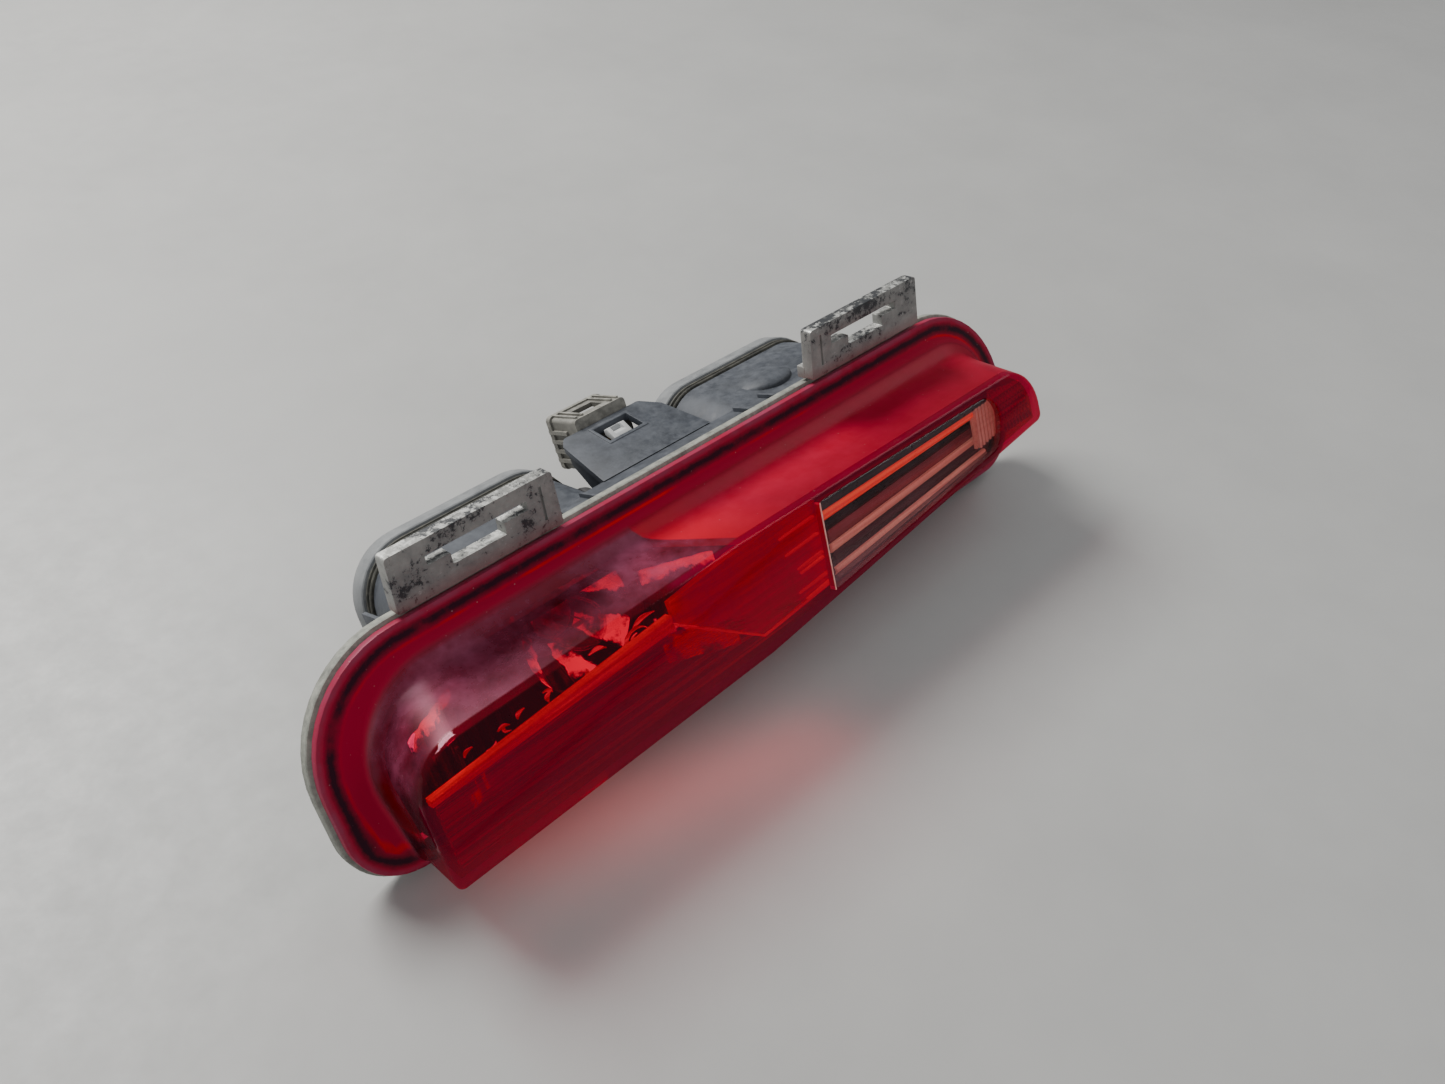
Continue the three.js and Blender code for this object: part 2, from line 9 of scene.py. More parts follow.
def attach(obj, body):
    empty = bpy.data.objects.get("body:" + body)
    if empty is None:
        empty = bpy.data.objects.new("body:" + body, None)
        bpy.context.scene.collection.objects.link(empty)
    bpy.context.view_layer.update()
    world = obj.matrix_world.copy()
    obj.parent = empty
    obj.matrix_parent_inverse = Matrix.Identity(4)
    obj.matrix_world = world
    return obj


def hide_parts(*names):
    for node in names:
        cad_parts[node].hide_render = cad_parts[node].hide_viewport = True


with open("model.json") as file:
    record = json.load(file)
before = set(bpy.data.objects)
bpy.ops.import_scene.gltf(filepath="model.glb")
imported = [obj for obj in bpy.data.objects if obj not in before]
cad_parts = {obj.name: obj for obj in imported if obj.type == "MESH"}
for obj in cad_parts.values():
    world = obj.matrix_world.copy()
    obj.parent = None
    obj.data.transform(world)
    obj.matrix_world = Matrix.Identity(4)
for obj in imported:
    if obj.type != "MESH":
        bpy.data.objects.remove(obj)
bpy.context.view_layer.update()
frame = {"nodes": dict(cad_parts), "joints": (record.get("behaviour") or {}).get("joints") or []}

# The lamp is modelled in its own axes, in millimetres: x along it, depth backwards from the flange's
# front face, and height up from the flange's lower edge. LAMP takes those to the row frame.
MM = 0.001
JOINTS = {joint["name"]: joint for joint in frame["joints"]}
HOLDER_TURN = JOINTS["stop_holder_turn"]
HOLDER_AXIS = Vector(HOLDER_TURN["axis"])
LEAN = math.atan2(-HOLDER_AXIS.z, HOLDER_AXIS.y)
BULB_HEIGHT = 38.5
CAP_BACK = 58
BULB_X = {"stop": -61, "reverse": 61}
LAMP_TURN = Matrix.Rotation(-LEAN, 4, "X") @ Matrix.Scale(MM, 4)
HOLDER_PLACE = LAMP_TURN @ Vector((BULB_X["stop"], CAP_BACK, BULB_HEIGHT))
LAMP = Matrix.Translation(Vector(HOLDER_TURN["pos_m"]) - HOLDER_PLACE) @ LAMP_TURN

ARC = 12                      # steps round a corner
PAST = 2                      # how far a cutter runs past what it cuts
FACE_DEPTH = -28
LENS_WALL = 2.4
INNER_FACE = FACE_DEPTH + LENS_WALL
PEAK_X = -15
FLANGE_BACK = 3.2
RIM_FRONT, RIM_BACK = 3.5, 8.5
SEAT = 1.8                    # how far the rim's seat stands inside the boss's root
SHELL_WALL = 2.4
TUB_BACK = 22
SLIVER = 0.02                 # points nearer than this are merged before edges are rounded
CLOSED = 0.001                # and nearer than this after
FLAT_ANGLE = math.radians(0.4)
EDGE_ANGLE = math.radians(32)
LOBE_BACK = 46


# ---- outlines ----
def outline(corners, steps=ARC):
    """A closed outline with rounded corners; each corner is (x, height, radius), and radius 0 stays sharp."""
    points = []
    for index, (x, height, radius) in enumerate(corners):
        here = Vector((x, height))
        if radius == 0:
            points.append(here)
            continue
        before = (Vector(corners[index - 1][:2]) - here).normalized()
        after = (Vector(corners[(index + 1) % len(corners)][:2]) - here).normalized()
        half = before.angle(after) / 2
        centre = here + (before + after).normalized() * radius / math.sin(half)
        start = here + before * radius / math.tan(half) - centre
        end = here + after * radius / math.tan(half) - centre
        sweep = math.atan2(start.x * end.y - start.y * end.x, start.dot(end))
        for step in range(steps + 1):
            turn = Matrix.Rotation(sweep * step / steps, 2)
            points.append(centre + turn @ start)
    return points


def grown(corners, amount):
    """The same corners, listed anticlockwise, with every edge moved outwards by amount."""
    moved = []
    for index, (x, height, radius) in enumerate(corners):
        here = Vector((x, height))
        into = (here - Vector(corners[index - 1][:2])).normalized()
        out = (Vector(corners[(index + 1) % len(corners)][:2]) - here).normalized()
        normals = Vector((into.y + out.y, -into.x - out.x))
        shift = normals * amount / (1 + into.dot(out))
        moved.append((here.x + shift.x, here.y + shift.y, max(radius + amount, 0.3) if radius else 0))
    return moved


def between(first, second, share):
    """Corners part of the way from the first list to the second."""
    return [tuple(a + (b - a) * share for a, b in zip(one, other)) for one, other in zip(first, second)]


def rectangle(left, right, low, top, low_radius, top_radius=None):
    top_radius = low_radius if top_radius is None else top_radius
    return [(left, low, low_radius), (right, low, low_radius),
            (right, top, top_radius), (left, top, top_radius)]


def mirrored(corners, side):
    """The corners as they are on the right, or mirrored for the left, still anticlockwise."""
    if side > 0:
        return corners
    return [(-x, *rest) for x, *rest in reversed(corners)]


FLANGE = [(-148.5, 0, 18.5), (PEAK_X, 0, 0), (148.5, 0, 18.5), (148.5, 67.4, 35.5), (PEAK_X, 67.4, 0),
          (-148.5, 67.4, 35.5)]
ROOT = [(-131, 0.8, 4), (PEAK_X, 1, 0), (136, 5, 6), (138, 52.5, 19), (PEAK_X, 52.8, 0), (-135, 52.5, 24)]
FACE = [(-134.8, 4.4, 2.5), (PEAK_X, 7.9, 0), (134, 22.6, 2.5), (134, 45, 16.5), (PEAK_X, 46, 0),
        (-135.2, 43, 16.5)]
WINDOW = [(15, 12.9, 2), (108, 21.9, 7), (114, 42.4, 9), (18, 43.4, 2)]
LOBE = {"inner": 22, "outer": 100, "low": 27, "top": 71, "radius": 18}
BRACKET = {"inner": 54, "outer": 110.5, "foot": 68, "top": 85, "thickness": 4.4, "lean": 13}
TAB_SLOPE = math.tan(math.radians(21.8))


def tab_height(depth):
    return 65 + (depth - 19) * TAB_SLOPE


# ---- solids ----
def blank(name, bm):
    """An object from a bmesh, in lamp millimetres, with its faces turned outwards."""
    bmesh.ops.recalc_face_normals(bm, faces=bm.faces)
    mesh = bpy.data.meshes.new(name)
    bm.to_mesh(mesh)
    bm.free()
    obj = bpy.data.objects.new(name, mesh)
    bpy.context.scene.collection.objects.link(obj)
    return obj


def skinned(name, bm, rows, caps=True):
    """A solid from closed rows of vertices, each joined to the next, with its two ends filled."""
    for near, far in zip(rows, rows[1:]):
        for index, vert in enumerate(near):
            nxt = (index + 1) % len(near)
            bm.faces.new((vert, near[nxt], far[nxt], far[index]))
    if caps:
        bm.faces.new(rows[0])
        bm.faces.new(rows[-1])
    return blank(name, bm)


def loft(rings, caps=True):
    """A skin through (points, depth) rings with equal point counts, the front one first."""
    bm = bmesh.new()
    rows = [[bm.verts.new((point[0], depth, point[1])) for point in points] for points, depth in rings]
    return skinned("loft", bm, rows, caps)


def plate(corners, front, back, steps=ARC):
    points = outline(corners, steps)
    return loft([(points, front), (points, back)])


def ringed(count):
    """The angles of a full turn in equal steps."""
    return [2 * math.pi * step / count for step in range(count)]


def turned(profile, x=0, height=BULB_HEIGHT, segments=64):
    """A profile of (radius, depth) pairs turned round an axis along the depth; radius 0 is a point."""
    bm = bmesh.new()
    rings = []
    for radius, depth in profile:
        if radius == 0:
            rings.append([bm.verts.new((x, depth, height))])
            continue
        rings.append([bm.verts.new((x + radius * math.cos(a), depth, height + radius * math.sin(a)))
                      for a in ringed(segments)])
    closed = profile[0] == profile[-1] and profile[0][0] > 0
    if closed:
        for vert in rings.pop():
            bm.verts.remove(vert)
        rings.append(rings[0])
    for near, far in zip(rings, rings[1:]):
        for step in range(segments):
            nxt = (step + 1) % segments
            if len(near) == 1:
                bm.faces.new((near[0], far[nxt], far[step]))
            elif len(far) == 1:
                bm.faces.new((near[step], near[nxt], far[0]))
            else:
                bm.faces.new((near[step], near[nxt], far[nxt], far[step]))
    return blank("turned", bm)


def block(low, high):
    corners = rectangle(low[0], high[0], low[2], high[2], 0)
    return plate(corners, low[1], high[1])


def along(profile, left, right):
    """A side profile of (depth, height) points run along x between two ends."""
    bm = bmesh.new()
    return skinned("along", bm, [[bm.verts.new((x, *point)) for point in profile] for x in (left, right)])


def sheet_solid(columns, rows, surface, thickness):
    """A closed plate over a grid: surface(across, up) gives a lamp point, and thickness goes backwards."""
    bm = bmesh.new()
    sides = []
    for offset in (0, thickness):
        grid = []
        for column in range(columns + 1):
            points = [surface(column / columns, row / rows) for row in range(rows + 1)]
            grid.append([bm.verts.new((x, depth + offset, height)) for x, depth, height in points])
        sides.append(grid)
    for grid in sides:
        for a, b in zip(grid, grid[1:]):
            for row in range(rows):
                bm.faces.new((a[row], a[row + 1], b[row + 1], b[row]))
    front, back = sides
    rims = [[(column, row) for column in range(columns + 1)] for row in (0, rows)]
    rims += [[(column, row) for row in range(rows + 1)] for column in (0, columns)]
    for rim_line in rims:
        for (a, b), (c, d) in zip(rim_line, rim_line[1:]):
            bm.faces.new((front[a][b], front[c][d], back[c][d], back[a][b]))
    return blank("sheet", bm)


def bake(obj):
    """Applies the object's modifiers to its mesh."""
    depsgraph = bpy.context.evaluated_depsgraph_get()
    mesh = bpy.data.meshes.new_from_object(obj.evaluated_get(depsgraph))
    obj.modifiers.clear()
    obj.data = mesh


def combine(operation, obj, *others):
    """Joins to the first solid, or cuts from it, each of the others, which are used up."""
    for other in others:
        modifier = obj.modifiers.new("combine", "BOOLEAN")
        modifier.operation = operation
        modifier.solver = "EXACT"
        modifier.object = other
        bake(obj)
        bpy.data.objects.remove(other)
    return obj


def join(*solids):
    return combine("UNION", *solids)


def cut(*solids):
    return combine("DIFFERENCE", *solids)


def placed(obj, x, depth, height, degrees=0.0):
    """Moves a solid that was made round the origin, after tipping it about x."""
    tip = Matrix.Rotation(math.radians(degrees), 4, "X")
    obj.data.transform(Matrix.Translation((x, depth, height)) @ tip)
    return obj


def gathered(*objects):
    """One object that holds the meshes of several, which stay separate shells."""
    bm = bmesh.new()
    for obj in objects:
        bm.from_mesh(obj.data)
        bpy.data.objects.remove(obj)
    return blank("gathered", bm)


def soften(obj, width):
    """Rounds the solid's edges, and clears away slivers before and zero-area faces after."""
    bm = bmesh.new()
    bm.from_mesh(obj.data)
    bmesh.ops.remove_doubles(bm, verts=bm.verts, dist=SLIVER)
    bmesh.ops.dissolve_limit(bm, angle_limit=FLAT_ANGLE, verts=bm.verts, edges=bm.edges)
    bm.to_mesh(obj.data)
    bm.free()
    bevel = obj.modifiers.new("bevel", "BEVEL")
    bevel.width = width
    bevel.segments = 3
    bevel.limit_method = "ANGLE"
    bevel.angle_limit = EDGE_ANGLE
    bake(obj)
    bm = bmesh.new()
    bm.from_mesh(obj.data)
    bmesh.ops.remove_doubles(bm, verts=bm.verts, dist=CLOSED)
    bmesh.ops.dissolve_degenerate(bm, dist=CLOSED, edges=bm.edges)
    bmesh.ops.holes_fill(bm, edges=[edge for edge in bm.edges if edge.is_boundary], sides=0)
    bm.to_mesh(obj.data)
    bm.free()
    return obj


def piece(name, obj, material, body="lamp", stands_for=None):
    """Finishes a solid as a named piece: row frame, smooth shading, material and body, and hides the part it
    stands for.
    """
    mesh = obj.data
    place = mesh.attributes.new("lamp", "FLOAT_VECTOR", "POINT")
    place.data.foreach_set("vector", [value for vert in mesh.vertices for value in vert.co])
    mesh.transform(LAMP)
    mesh.shade_smooth()
    mesh.set_sharp_from_angle(angle=math.radians(30))
    mesh.materials.clear()
    mesh.materials.append(material)
    obj.name = name
    mesh.name = name
    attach(obj, body)
    if stands_for:
        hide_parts(stands_for)


# ---- material building ----
class Number:
    """A number that varies over a surface, with plain arithmetic."""

    def __init__(self, finish, socket):
        self.finish = finish
        self.socket = socket

    def __add__(self, other):
        return self.finish.math("ADD", self, other)

    def __sub__(self, other):
        return self.finish.math("SUBTRACT", self, other)

    def __rsub__(self, other):
        return self.finish.math("SUBTRACT", other, self)

    def __mul__(self, other):
        return self.finish.math("MULTIPLY", self, other)

    def ramp(self, low, high, out_low=0.0, out_high=1.0):
        """Runs from out_low to out_high as the number goes from low to high, and stays level beyond."""
        node = self.finish.add("ShaderNodeMapRange")
        self.finish.feed(node.inputs["Value"], self)
        for name, end in (("From Min", low), ("From Max", high), ("To Min", out_low), ("To Max", out_high)):
            node.inputs[name].default_value = end
        return Number(self.finish, node.outputs["Result"])


class Finish:
    """A material with a Principled shader, built from a few kinds of node."""

    def __init__(self, name, roughness=0.5, metallic=0.0, ior=1.46, specular=0.5):
        self.material = bpy.data.materials.new(name)
        self.material.use_nodes = True
        self.tree = self.material.node_tree
        self.shader = self.tree.nodes["Principled BSDF"]
        self.set("Roughness", roughness)
        self.set("Metallic", metallic)
        self.set("IOR", ior)
        self.set("Specular IOR Level", specular)
        self.place = self.add("ShaderNodeTexCoord").outputs["Object"]

    def add(self, kind, **settings):
        node = self.tree.nodes.new(kind)
        for key, value in settings.items():
            setattr(node, key, value)
        return node

    def feed(self, socket, value):
        if isinstance(value, Number):
            value = value.socket
        if isinstance(value, bpy.types.NodeSocket):
            self.tree.links.new(value, socket)
        elif isinstance(value, tuple) and len(value) == 3 and socket.type == "RGBA":
            socket.default_value = (*value, 1)
        else:
            socket.default_value = value

    def set(self, socket, value):
        self.feed(self.shader.inputs[socket], value)

    def split(self, vector):
        node = self.add("ShaderNodeSeparateXYZ")
        self.feed(node.inputs[0], vector)
        return [Number(self, output) for output in node.outputs]

    def lamp(self):
        """The lamp's own x, depth and height of a point, in millimetres."""
        return self.split(self.add("ShaderNodeAttribute", attribute_name="lamp").outputs["Vector"])

    def value(self, name):
        return Number(self, self.add("ShaderNodeAttribute", attribute_name=name).outputs["Fac"])

    def upward(self):
        """How far a surface faces up, from -1 to 1."""
        return self.split(self.add("ShaderNodeNewGeometry").outputs["Normal"])[2]

    def stretched(self, factors):
        """The place of a point, drawn out where a factor is small."""
        node = self.add("ShaderNodeVectorMath", operation="MULTIPLY")
        self.feed(node.inputs[0], self.place)
        node.inputs[1].default_value = factors
        return node.outputs[0]

    def noise(self, size, detail=4, roughness=0.55, vector=None):
        """Noise between 0 and 1, whose lumps are about size millimetres wide."""
        node = self.add("ShaderNodeTexNoise")
        self.feed(node.inputs["Vector"], vector or self.place)
        node.inputs["Scale"].default_value = 1 / MM / size
        node.inputs["Detail"].default_value = detail
        node.inputs["Roughness"].default_value = roughness
        return Number(self, node.outputs["Fac"])

    def specks(self, size, reach):
        """1 at the middle of scattered dots, falling to 0 at reach times their spacing."""
        node = self.add("ShaderNodeTexVoronoi")
        self.feed(node.inputs["Vector"], self.place)
        node.inputs["Scale"].default_value = 1 / MM / size
        return Number(self, node.outputs["Distance"]).ramp(reach, 0)

    def math(self, operation, first, second=0.0):
        node = self.add("ShaderNodeMath", operation=operation)
        self.feed(node.inputs[0], first)
        self.feed(node.inputs[1], second)
        return Number(self, node.outputs[0])

    def most(self, first, *others):
        for other in others:
            first = self.math("MAXIMUM", first, other)
        return first

    def mix(self, share, first, second):
        """The colour that is a share of the way from first to second."""
        node = self.add("ShaderNodeMix", data_type="RGBA")
        for index, value in ((0, share), (6, first), (7, second)):
            self.feed(node.inputs[index], value)
        return node.outputs[2]

    def coated(self, color, *coats):
        """The colour with each (share, colour) coat laid over it in turn."""
        for share, coat in coats:
            color = self.mix(share, color, coat)
        return color

    def bump(self, height, strength, distance_mm):
        node = self.add("ShaderNodeBump")
        self.feed(node.inputs["Height"], height)
        node.inputs["Strength"].default_value = strength
        node.inputs["Distance"].default_value = distance_mm * MM
        self.set("Normal", node.outputs[0])

    def mix_shaders(self, share, first, second):
        node = self.add("ShaderNodeMixShader")
        for index, value in enumerate((share, first, second)):
            self.feed(node.inputs[index], value)
        return node.outputs[0]

    def see_through(self, opacity, tint, gloss=0.04, sheen=(0.8, 0.8, 0.8), most=0.4):
        """Mixes the finish with clear tinted plastic, which is glossiest where it is seen edge on."""
        clear = self.add("ShaderNodeBsdfTransparent")
        self.feed(clear.inputs["Color"], tint)
        shine = self.add("ShaderNodeBsdfAnisotropic", distribution="GGX")
        self.feed(shine.inputs["Roughness"], gloss)
        self.feed(shine.inputs["Color"], sheen)
        facing = self.add("ShaderNodeLayerWeight").outputs["Facing"]
        grazing = self.math("POWER", facing, 4.0).ramp(0, 1, LEAST_GLOSS, most)
        sheer = self.mix_shaders(grazing, clear.outputs[0], shine.outputs[0])
        both = self.mix_shaders(opacity, sheer, self.shader.outputs[0])
        self.feed(self.tree.nodes["Material Output"].inputs["Surface"], both)


def dimmed(color, share):
    return tuple(part * share for part in color)


# ---- materials ----
LENS_TINT = (0.88, 0.05, 0.23)      # of one surface of the lens; a wall has two
LEAST_GLOSS = 0.035
ACRYLIC_IOR = 1.49


def lens_red():
    """Clear crimson plastic, hazed by the sun on its walls, with a dark weld band round the flange."""
    finish = Finish("lens_red", ior=ACRYLIC_IOR, specular=0.12)
    x, depth, height = finish.lamp()
    edge = finish.value("edge")
    off_face = depth.ramp(INNER_FACE + 0.1, INNER_FACE + 0.9)
    flange = depth.ramp(-1.2, -0.2)
    patches = finish.noise(24, 5, 0.6)
    cloud = finish.noise(9, 6, 0.65)
    fine = finish.noise(0.9, 3)
    # The milky part of the walls ends at a slanting line left of the crease.
    limit = depth * 0.8 + x
    milky = limit.ramp(-34.5, -33.7)
    bright = milky * limit.ramp(-8, -32)
    left_haze = (patches + cloud * 0.6).ramp(0.62, 1.0, 0.08, 0.72)
    right_haze = patches.ramp(0.3, 0.75, 0.66, 0.88)
    wall_haze = (1 - milky) * left_haze + milky * right_haze
    sunned = height.ramp(20, 34, 0.25, 1) * depth.ramp(-25, -12, 0.6, 1)
    haze = off_face * depth.ramp(0.5, -0.8) * sunned * wall_haze
    # The weld's dark band, the lip outside it and the bright line inside it follow the flange's edge.
    wobble = edge + finish.noise(4, 6, 0.75).ramp(0, 1, -1.1, 1.1)
    broken = finish.noise(17, 5, 0.65).ramp(0.34, 0.5, 0.55, 1)
    band = wobble.ramp(1.7, 3.4) * wobble.ramp(6.6, 4.4) * broken * flange
    lip = edge.ramp(2.2, 0.9) * cloud.ramp(0.35, 0.6, 0.3, 1) * flange
    line = edge.ramp(5.9, 6.3) * edge.ramp(7.4, 6.8) * finish.noise(40, 3).ramp(0.42, 0.58, 0.1, 0.8) * flange
    dust = finish.specks(3.1, 0.1) * fine.ramp(0.45, 0.7, 0, 0.7) * off_face
    plum = finish.mix(patches.ramp(0.35, 0.7), (0.2, 0.01, 0.042), (0.27, 0.062, 0.12))
    milk = finish.mix(cloud.ramp(0.3, 0.7), (0.36, 0.002, 0.021), (0.42, 0.007, 0.036))
    color = finish.coated(plum, (milky, milk), (bright, (0.52, 0.002, 0.022)), (flange, (0.34, 0.003, 0.03)),
                          (lip * 0.8, (0.27, 0.045, 0.09)), (line, (0.7, 0.003, 0.008)),
                          (band * 0.95, (0.012, 0.006, 0.013)), (dust, (0.6, 0.42, 0.45)))
    finish.set("Base Color", finish.mix(off_face, (0.3, 0.001, 0.04), color))
    finish.set("Roughness", off_face * cloud.ramp(0.3, 0.8, 0.3, 0.46) + 0.05)
    scratches = finish.noise(1.3, 4, 0.7, finish.stretched((0.12, 1, 1)))
    finish.bump((scratches + cloud) * off_face, 0.1, 0.1)
    # The face has a thin haze, but stays clear over the bulb, above the bright bar.
    over_bulb = (height - x * 0.077).ramp(41.2, 42.6) * x.ramp(-41, -45)
    on_face = (1 - off_face) * patches.ramp(0.3, 0.8, 0.2, 0.34) * (1 - over_bulb * 0.85)
    opacity = finish.most(haze, flange * 0.86, band, on_face, dust)
    finish.see_through(opacity, LENS_TINT, off_face * 0.32 + 0.03, (0.75, 0.42, 0.52), 0.2)
    return finish.material


def window_clear():
    """Clear plastic, a little pink, and purple along its lower edge."""
    finish = Finish("window_clear", ior=ACRYLIC_IOR)
    height = finish.lamp()[2]
    low = height.ramp(24, 15) * finish.noise(8, 5, 0.6).ramp(0.3, 0.7, 0.3, 0.8)
    haze = finish.noise(20, 5, 0.6).ramp(0.5, 0.85, 0.0, 0.07) + low * 0.3
    finish.set("Base Color", finish.mix(low, (0.5, 0.2, 0.24), (0.3, 0.07, 0.12)))
    finish.set("Roughness", finish.noise(4, 5, 0.7).ramp(0.3, 0.8, 0.1, 0.25))
    finish.bump(finish.noise(1.2, 3, 0.6, finish.stretched((0.1, 1, 1))), 0.05, 0.1)
    finish.see_through(haze, (0.96, 0.84, 0.85), 0.02)
    return finish.material


def optic_red(name, bright, deep, clear=0.0, painted_glow=0.0, grain=0.3):
    """Red or pink optics with long streaks, see-through by the share clear; the glow argument is painted
    light, an emission that stands for light gathered from behind.
    """
    finish = Finish(name, ior=ACRYLIC_IOR)
    streaks = finish.noise(1.4, 3, 0.6, finish.stretched((0.01, 1, 1)))
    upright = finish.noise(1.1, 3, 0.6, finish.stretched((1, 0.15, 0.15)))
    color = finish.mix(streaks.ramp(0.42, 0.6), deep, bright)
    color = finish.mix(upright.ramp(0.5, 0.75, 0, 0.25), color, dimmed(deep, 0.55))
    finish.set("Base Color", color)
    finish.set("Roughness", streaks.ramp(0.2, 0.8, 0.08, 0.26))
    # Painted light: the optic glows though it is no lamp.
    if painted_glow:
        finish.set("Emission Color", color)
        finish.set("Emission Strength", painted_glow)
    finish.bump(streaks, 0.25 * grain, 0.15)
    if clear:
        finish.see_through(streaks.ramp(0.4, 0.62, 1 - clear, 1 - clear * 0.55), (0.9, 0.1, 0.1))
    return finish.material


def glint_painted_mirror():
    """Silvering painted with reflections: bright, glowing wedges that fan out from the bulb, and dark between
    them.
    """
    finish = Finish("glint_painted_mirror", metallic=1)
    x, _, height = finish.lamp()
    angle = finish.math("ARCTAN2", height - BULB_HEIGHT, x - BULB_X["stop"])
    waver = finish.noise(8, 4, 0.6).ramp(0, 1, -1.4, 1.4)
    spokes = finish.math("SINE", angle * 7 + waver)
    # Painted reflections: bright wedges that glow where the silvering would catch the light.
    painted_glint = spokes.ramp(0.1, 0.3) * finish.noise(9, 4, 0.6).ramp(0.38, 0.5)
    finish.set("Base Color", finish.mix(painted_glint, (0.12, 0.06, 0.06), (1, 0.85, 0.75)))
    finish.set("Roughness", painted_glint.ramp(0, 1, 0.12, 0.4))
    finish.set("Emission Color", finish.mix(painted_glint, (0, 0, 0), (1.0, 0.35, 0.5)))
    finish.set("Emission Strength", 1.0)
    finish.bump(finish.noise(2.2, 4), 0.12, 0.1)
    return finish.material


def gloss_black():
    finish = Finish("gloss_black")
    dust = finish.noise(5, 6, 0.7).ramp(0.55, 0.85, 0, 0.12)
    finish.set("Base Color", finish.mix(dust, (0.004, 0.003, 0.004), (0.05, 0.02, 0.02)))
    finish.set("Roughness", finish.noise(2.5, 4).ramp(0.3, 0.8, 0.25, 0.5))
    finish.bump(finish.noise(1.5, 3), 0.1, 0.1)
    return finish.material


def moulded(name, base, dark, pale, dustiness, roughness=0.55, spots=0.0):
    """Moulded plastic that has stood outside: mottled, dusty where it faces up, worn at its edges."""
    finish = Finish(name)
    mottle = finish.noise(11, 6, 0.68)
    grime = finish.noise(3.4, 6, 0.72)
    dust = finish.upward().ramp(0.05, 0.85) * grime.ramp(0.4, 0.68)
    dust = dust * mottle.ramp(0.3, 0.7, 1, 0.35) * dustiness
    color = finish.coated(base, (mottle.ramp(0.34, 0.66), dark), (dust, pale))
    if spots:
        dots = finish.specks(2.6, 0.3) * grime.ramp(0.46, 0.62) * spots
        color = finish.mix(dots, color, dimmed(dark, 0.25))
    worn = Number(finish, finish.add("ShaderNodeNewGeometry").outputs["Pointiness"]).ramp(0.5, 0.56)
    finish.set("Base Color", finish.mix(worn * grime.ramp(0.35, 0.6) * 0.45, color, pale))
    finish.set("Roughness", grime.ramp(0.25, 0.8, roughness - 0.1, roughness + 0.25))
    finish.bump(finish.noise(0.55, 3, 0.6) * 0.6 + grime, 0.28, 0.14)
    return finish.material


def bracket_silver():
    """Dull silver with black specks, dark stains, a top edge made brighter by wear and by a painted
    highlight, and painted red light near its foot.
    """
    finish = Finish("bracket_silver", metallic=0.3)
    height = finish.lamp()[2]
    cloud = finish.noise(15, 6, 0.7)
    fleck = finish.noise(2.2, 7, 0.8)
    up = finish.upward().ramp(0.2, 0.75)
    stained = cloud.ramp(0.4, 0.62, 0, 0.2) + height.ramp(78, 86) * 0.05 + up * 0.03
    black = (fleck - (0.67 - stained)).ramp(-0.01, 0.05)
    # Pale patches: partly wear, partly a painted highlight that favours faces turned up.
    wear_and_top_highlight = (up * 0.2 + finish.noise(2.8, 5, 0.7)).ramp(0.66, 0.76)
    # The last coat is painted red light from the lens, on the bracket's lower end.
    color = finish.coated((0.29, 0.29, 0.27), (cloud.ramp(0.35, 0.65), (0.14, 0.14, 0.137)),
                          (black * 0.9, (0.022, 0.024, 0.028)),
                          (wear_and_top_highlight * (1 - black) * 0.75, (0.54, 0.54, 0.51)),
                          (height.ramp(73, 69.5) * 0.5, (0.2, 0.07, 0.07)))
    finish.set("Base Color", color)
    finish.set("Roughness", fleck.ramp(0.3, 0.75, 0.32, 0.62))
    finish.bump(fleck + finish.noise(0.5, 3, 0.7) * 0.4, 0.35, 0.16)
    return finish.material


def rubber():
    finish = Finish("rubber_black")
    grime = finish.noise(4, 6, 0.7)
    finish.set("Base Color", finish.mix(grime.ramp(0.4, 0.75), (0.022, 0.022, 0.018), (0.11, 0.105, 0.085)))
    finish.set("Roughness", grime.ramp(0.3, 0.8, 0.55, 0.9))
    finish.bump(finish.noise(0.8, 3), 0.25, 0.1)
    return finish.material


def bare_metal(name, tint, roughness):
    finish = Finish(name, metallic=1)
    cloud = finish.noise(3, 5, 0.6)
    finish.set("Base Color", finish.mix(cloud.ramp(0.4, 0.75), tint, dimmed(tint, 0.55)))
    finish.set("Roughness", cloud.ramp(0.3, 0.8, roughness, roughness + 0.25))
    finish.bump(finish.noise(0.5, 3, 0.6, finish.stretched((1, 0.2, 1))), 0.15, 0.05)
    return finish.material


def bulb_clear():
    finish = Finish("bulb_clear", 0.2, ior=1.45)
    smoke = finish.noise(5, 4).ramp(0.4, 0.8, 0.02, 0.08)
    finish.set("Base Color", finish.mix(smoke, (0.7, 0.72, 0.72), (0.5, 0.5, 0.5)))
    finish.see_through(smoke, (0.97, 0.975, 0.975), 0.01)
    return finish.material


def floor_paint():
    finish = Finish("floor_paint")
    cloud = finish.noise(90, 5, 0.6)
    finish.set("Base Color", finish.mix(cloud.ramp(0.3, 0.7), (0.37, 0.37, 0.358), (0.335, 0.335, 0.325)))
    finish.set("Roughness", finish.noise(14, 5, 0.7).ramp(0.3, 0.8, 0.42, 0.6))
    finish.bump(finish.noise(1.5, 4), 0.06, 0.1)
    return finish.material


LENS_RED = lens_red()
WINDOW_CLEAR = window_clear()
